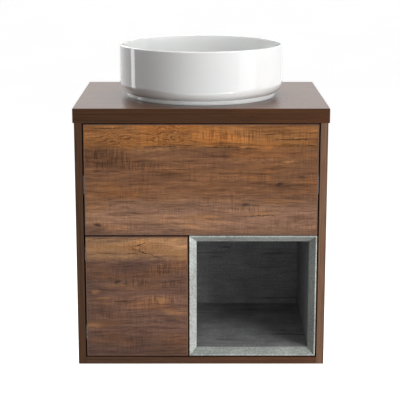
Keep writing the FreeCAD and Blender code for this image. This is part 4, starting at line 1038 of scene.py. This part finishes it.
class VanityAddSides(bpy.types.Operator):
    """Build the two side panels"""

    bl_idname = "vanity.add_sides"
    bl_label = "Side panels"

    def execute(self, context):
        sizes = context.scene.vanity_boards
        # The side panels' tones are painted light: the right panel lighter, as lit by the key from the right.
        for side, factors in SIDE_PAINTED_LIGHT.items():
            node = "side_panel_" + side
            piece = banded_board("oak_side_" + side, *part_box(node), 0, sizes)
            dress(piece, board_material(factors), board_material(factors))
            finish_piece(piece, "cabinet", "carcass_board", node)
        return {"FINISHED"}


class VanityAddFronts(bpy.types.Operator):
    """Build the drawer front and the door"""

    bl_idname = "vanity.add_fronts"
    bl_label = "Drawer front and door"

    def execute(self, context):
        sizes = context.scene.vanity_boards
        shades = {name: tuple(getattr(colours(), name)) for name in OAK_TINTS}
        # Painted light and shade across each front: the drawer lighter at the left and darker at the right,
        # the door darker and cooler at the left, to set how bright each side looks under the key light from
        # the right.
        drawer_painted_light = [
            (0.0, (1.14, 1.14, 1.12, 1.0)),
            (0.45, (1.12, 1.12, 1.12, 1.0)),
            (1.0, (0.86, 0.86, 0.86, 1.0)),
        ]
        rise = [(0.0, (0.92, 0.94, 0.96, 1.0)), (0.45, (1.08, 1.08, 1.06, 1.0))]
        jobs = (
            ("drawer_front", "oak_drawer_front", "drawer", DRAWER_MARKS, DRAWER_ZONES, drawer_painted_light),
            ("door_panel", "oak_door", "door", DOOR_MARKS, DOOR_ZONES, rise),
        )
        for node, name, body, group, zones, sweep in jobs:
            piece = banded_board(name, *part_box(node), 1, sizes)
            face = material(name + "_print", rustic_oak, shades, group, zones, sweep)
            dress(piece, face, edging_material())
            finish_piece(piece, body, "front_veneer", node)
        return {"FINISHED"}


# ---------------------------------------------------------------- cubby
class VanityAddCubby(bpy.types.Operator):
    """Build the cubby's mitred walls and its back"""

    bl_idname = "vanity.add_cubby"
    bl_label = "Cubby"

    def execute(self, context):
        lip = context.scene.vanity_boards.cubby_lip
        outer_low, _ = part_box("cubby_bottom")
        _, outer_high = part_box("cubby_top")
        back_low, back_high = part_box("cubby_back")
        wall = back_low.x - outer_low.x
        for side in ("left", "right", "bottom", "top"):
            node = "cubby_" + side
            piece = mitred_wall("concrete_" + side, side, outer_low, outer_high, wall, lip)
            dress(piece, concrete_material(side))
            finish_piece(piece, "cabinet", "concrete_board", node)
        back = block("concrete_back", back_low, back_high)
        bevel(back, BACK_ARRIS, 2)
        shade(back)
        dress(back, concrete_material("back"))
        finish_piece(back, "cabinet", "concrete_board", "cubby_back")
        return {"FINISHED"}


def mitred_wall(name, side, low, high, wall, lip):
    """A cubby wall as wide as the outer square: front edge bevelled, ends cut off at 45 degrees."""
    sign = 1.0 if side in ("right", "top") else -1.0
    axis = 0 if side in ("left", "right") else 2
    along = 2 - axis
    corner_low, corner_high = low.copy(), high.copy()
    if sign > 0:
        corner_low[axis] = high[axis] - wall
    else:
        corner_high[axis] = low[axis] + wall
    piece = block(name, corner_low, corner_high)
    inner_edge = corner_low[axis] if sign > 0 else corner_high[axis]
    open_mesh(piece)
    pick_edges(piece, lambda a, b: all(
        abs(point[axis] - inner_edge) < SMALL and abs(point.y - low.y) < SMALL for point in (a, b)
    ))
    bpy.ops.mesh.bevel(offset=wall - lip, segments=1, affect="EDGES")
    for end, outward in ((low, -1.0), (high, 1.0)):
        bpy.ops.mesh.select_all(action="SELECT")
        normal = Vector((0.0, 0.0, 0.0))
        normal[along] = outward
        normal[axis] = -sign
        point = Vector((0.0, 0.0, 0.0))
        point[along] = end[along]
        point[axis] = (high if sign > 0 else low)[axis]
        bpy.ops.mesh.bisect(plane_co=point, plane_no=normal, use_fill=True, clear_outer=True)
    bpy.ops.mesh.select_all(action="SELECT")
    bpy.ops.mesh.remove_doubles(threshold=MERGE)
    bpy.ops.mesh.normals_make_consistent(inside=False)
    close_mesh()
    bevel(piece, CUBBY_ARRIS, 2, 25.0)
    shade(piece)
    return piece


# ---------------------------------------------------------------- waste
# The plug: rise of its dome, height of its rim, radius and chamfer of its stem, and round and inset of its
# lower edge.
PLUG_CROWN = 0.003
PLUG_RIM = 0.0025
PLUG_STEM = 0.004
PLUG_CHAMFER = 0.0008
PLUG_ROUND = 0.0012
PLUG_LIP = 0.002


class VanityAddWaste(bpy.types.Operator):
    """Turn the waste's domed plug"""

    bl_idname = "vanity.add_waste"
    bl_label = "Waste plug"

    def execute(self, context):
        low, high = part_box("waste_plug")
        radius = (high.x - low.x) / 2
        crown, rim = PLUG_CROWN, PLUG_RIM
        stem, chamfer, round_edge = PLUG_STEM, PLUG_CHAMFER, PLUG_ROUND
        under = high.z - low.z - crown - rim
        dome = (radius ** 2 + crown ** 2) / (2 * crown)
        reach = math.degrees(math.asin((radius - round_edge) / dome))
        outline = [(0.0, 0.0), (stem - chamfer, 0.0), (stem, chamfer), (stem, under)]
        outline += [(radius - PLUG_LIP, under)]
        outline += arc((radius - round_edge, under + round_edge), round_edge, -60, 0, 4)
        outline += [(radius, under + rim)]
        outline += arc((0.0, under + rim + crown - dome), dome, 90 - reach, 90, 12)
        piece = lathe("waste_plug_chrome", outline, 96, low.z, closed=False)
        round_shade(piece, 40)
        dress(piece, chrome_material())
        finish_piece(piece, "plug", "chrome", "waste_plug")
        return {"FINISHED"}


def chrome_material():
    return material("chrome_plate", bright_metal, colours().chrome, 0.05)


# ---------------------------------------------------------------- nodes kept from the frame
class VanityDressNodes(bpy.types.Operator):
    """Give every part that is kept from the frame its finish"""

    bl_idname = "vanity.dress_nodes"
    bl_label = "Inner parts"

    def execute(self, context):
        tints = colours()
        by_slot = {
            "carcass_board": flat_board_material(),
            "back_board": material("fibreboard", fibreboard, tints.fibre),
            "drawer_board": material("grey_melamine", melamine, tints.drawer),
            "chrome": chrome_material(),
            "black_rubber": material("black_seal_rubber", moulded, tints.rubber, 0.72),
            "zinc_steel": material("zinc_plate", bright_metal, tints.zinc, 0.30, 1.0, (700.0, 12.0, 700.0)),
            "screw_steel": material("screw_zinc", bright_metal, tints.screw, 0.24, 0.6),
            "nickel_steel": material("nickel_plate", bright_metal, tints.nickel, 0.20, 0.5),
            "grey_plastic": material("latch_grey", moulded, tints.grey_plastic, 0.50),
            "pale_plastic": material("latch_pale", moulded, tints.pale_plastic, 0.42),
            "beech": material("beech_dowel", beech, tints.beech),
        }
        upright = {"divider", "hanging_rail"}
        for part in frame["record"]["subparts"]:
            node = frame["nodes"][part["node"]]
            finish = by_slot.get(part["material_slot"])
            if node.hide_render or finish is None:
                continue
            if part["node"] in upright:
                finish = board_material()
            for place in node.material_slots:
                place.material = finish
        return {"FINISHED"}


# ---------------------------------------------------------------- stage
# The key light's angle round the object in degrees, its distance, and its height over the middle.
KEY_AZIMUTH = 50.0
KEY_REACH = 2.7
KEY_RISE = 0.28
# What share of the fill power the light over the front and the light over the bowl have.
TOP_SHARE = 0.15
OVERHEAD_SHARE = 5.0
# Power in watts of the strip at the left, the fill behind and the card at the right.
STRIP_POWER = 5.0
REAR_POWER = 20.0
CARD_POWER = 6.0
# The camera: where it stands, how far it looks down in degrees, and its vertical shift.
CAMERA_PLACE = (-0.0027, -3.0000, 1.0803)
CAMERA_TILT = 11.595
CAMERA_SHIFT = -0.10
SENSOR_MM = 36.0
FAR_CLIP = 100.0


def area_light(name, target, offset, width, height, power):
    """A white area light, offset from its target and turned towards it. The camera doesn't see it."""
    place = target + Vector(offset)
    lamp = bpy.data.lights.new(name, "AREA")
    lamp.shape = "RECTANGLE"
    lamp.size = width
    lamp.size_y = height
    lamp.energy = power
    light = bpy.data.objects.new(name, lamp)
    light.visible_camera = False
    bpy.context.scene.collection.objects.link(light)
    light.location = place
    light.rotation_euler = (target - place).to_track_quat("-Z", "Y").to_euler()
    return light


def studio_world(light, look):
    """An even world that lights with one strength, and shows and mirrors with another."""
    world = bpy.data.worlds.new("studio")
    world.use_nodes = True
    tree = world.node_tree
    path = tree.nodes.new("ShaderNodeLightPath")
    strength = tree.nodes.new("ShaderNodeMapRange")
    tree.links.new(path.outputs["Is Diffuse Ray"], strength.inputs["Value"])
    strength.inputs["To Min"].default_value = look
    strength.inputs["To Max"].default_value = light
    background = tree.nodes["Background"]
    background.inputs["Color"].default_value = (1.0, 1.0, 1.0, 1.0)
    tree.links.new(strength.outputs["Result"], background.inputs["Strength"])
    bpy.context.scene.world = world


def floor_material(colour, glow):
    """Pale paper that lights itself a little, as a lit studio sweep does."""
    graph = Graph("pale_floor")
    cloud = graph.noise(graph.even(1.6), detail=3.0)
    base = graph.ramp(cloud, [(0.3, shade_of(colour, 0.985)), (0.7, shade_of(colour, 1.0))])
    rough = graph.band(cloud, 0.3, 0.7, 0.75, 0.85)
    return graph.finish(base, rough, graph.bump(cloud, 0.0005, 0.1), Emission_Color=(1.0, 1.0, 1.0, 1.0),
                        Emission_Strength=glow)


class VanityAddStage(bpy.types.Operator):
    """Lay the pale floor and set up the lights and the camera"""

    bl_idname = "vanity.add_stage"
    bl_label = "Stage"

    def execute(self, context):
        settings = context.scene.vanity_stage
        bpy.ops.object.select_all(action="DESELECT")
        floor_place = (0.0, 0.0, cad_low.z - settings.drop)
        bpy.ops.mesh.primitive_plane_add(size=settings.floor_size, location=floor_place)
        floor = context.active_object
        floor.name = "floor"
        settle(floor)
        dress(floor, floor_material(settings.floor_colour, settings.floor_glow))
        floor.visible_diffuse = False

        studio_world(settings.world_light, settings.world_look)
        middle = (cad_low + cad_high) / 2
        turn = math.radians(KEY_AZIMUTH)
        key = (KEY_REACH * math.sin(turn), -KEY_REACH * math.cos(turn), KEY_RISE)
        fill = settings.fill_power
        bowl = Vector((0.0, 0.0, cad_high.z))
        soft = (
            area_light("key", middle, key, 1.5, 1.5, settings.key_power),
            area_light("front_top", middle, (0.1, -1.7, 1.9), 1.6, 1.0, fill * TOP_SHARE),
            area_light("front_low", middle, (0.3, -2.6, 0.15), 2.6, 0.8, fill),
            area_light("overhead", bowl, (0.1, 0.15, 1.35), 1.2, 1.2, fill * OVERHEAD_SHARE),
        )
        for lamp in soft:
            lamp.visible_glossy = False
        area_light("left_strip", middle, (-2.5, 0.75, 0.4), 0.4, 1.8, STRIP_POWER)
        area_light("rear_fill", middle, (-1.8, 2.6, 1.8), 1.8, 1.8, REAR_POWER)
        sheen = area_light("right_card", middle, (2.4, -1.1, 0.4), 1.3, 2.2, CARD_POWER)
        sheen.visible_diffuse = False

        lens = bpy.data.cameras.new("camera")
        lens.sensor_width = SENSOR_MM
        lens.lens = settings.lens * 1000
        lens.shift_y = CAMERA_SHIFT
        lens.clip_end = FAR_CLIP
        camera = bpy.data.objects.new("camera", lens)
        context.scene.collection.objects.link(camera)
        camera.location = CAMERA_PLACE
        camera.rotation_euler = (math.radians(90.0 - CAMERA_TILT), 0.0, 0.0)
        context.scene.camera = camera
        context.scene.view_settings.view_transform = "Standard"
        return {"FINISHED"}


# ---------------------------------------------------------------- panel and registration
OPERATORS = (
    VanityAddBasin, VanityAddWorktop, VanityAddSides, VanityAddFronts, VanityAddCubby, VanityAddWaste,
    VanityDressNodes, VanityAddStage,
)
SETTINGS = (
    ("vanity_basin", VanityBasinSizes),
    ("vanity_boards", VanityBoardSizes),
    ("vanity_colours", VanityColours),
    ("vanity_stage", VanityStageSettings),
)


class VanityPanel(bpy.types.Panel):
    """Lists the vanity's pieces and settings"""

    bl_idname = "VIEW3D_PT_vanity"
    bl_label = "Vessel Basin Vanity"
    bl_space_type = "VIEW_3D"
    bl_region_type = "UI"
    bl_category = "Vanity"

    def draw(self, context):
        for operator in OPERATORS:
            self.layout.operator(operator.bl_idname)
        for name, group in SETTINGS:
            column = self.layout.column(align=True)
            column.label(text=group.__doc__)
            for key in group.__annotations__:
                column.prop(getattr(context.scene, name), key)


def register():
    for name, group in SETTINGS:
        bpy.utils.register_class(group)
        setattr(bpy.types.Scene, name, bpy.props.PointerProperty(type=group))
    for operator in OPERATORS:
        bpy.utils.register_class(operator)
    bpy.utils.register_class(VanityPanel)


def unregister():
    bpy.utils.unregister_class(VanityPanel)
    for operator in reversed(OPERATORS):
        bpy.utils.unregister_class(operator)
    for name, group in reversed(SETTINGS):
        delattr(bpy.types.Scene, name)
        bpy.utils.unregister_class(group)


def main():
    register()
    for operator in OPERATORS:
        group, action = operator.bl_idname.split(".")
        getattr(getattr(bpy.ops, group), action)()


if __name__ == "__main__":
    main()
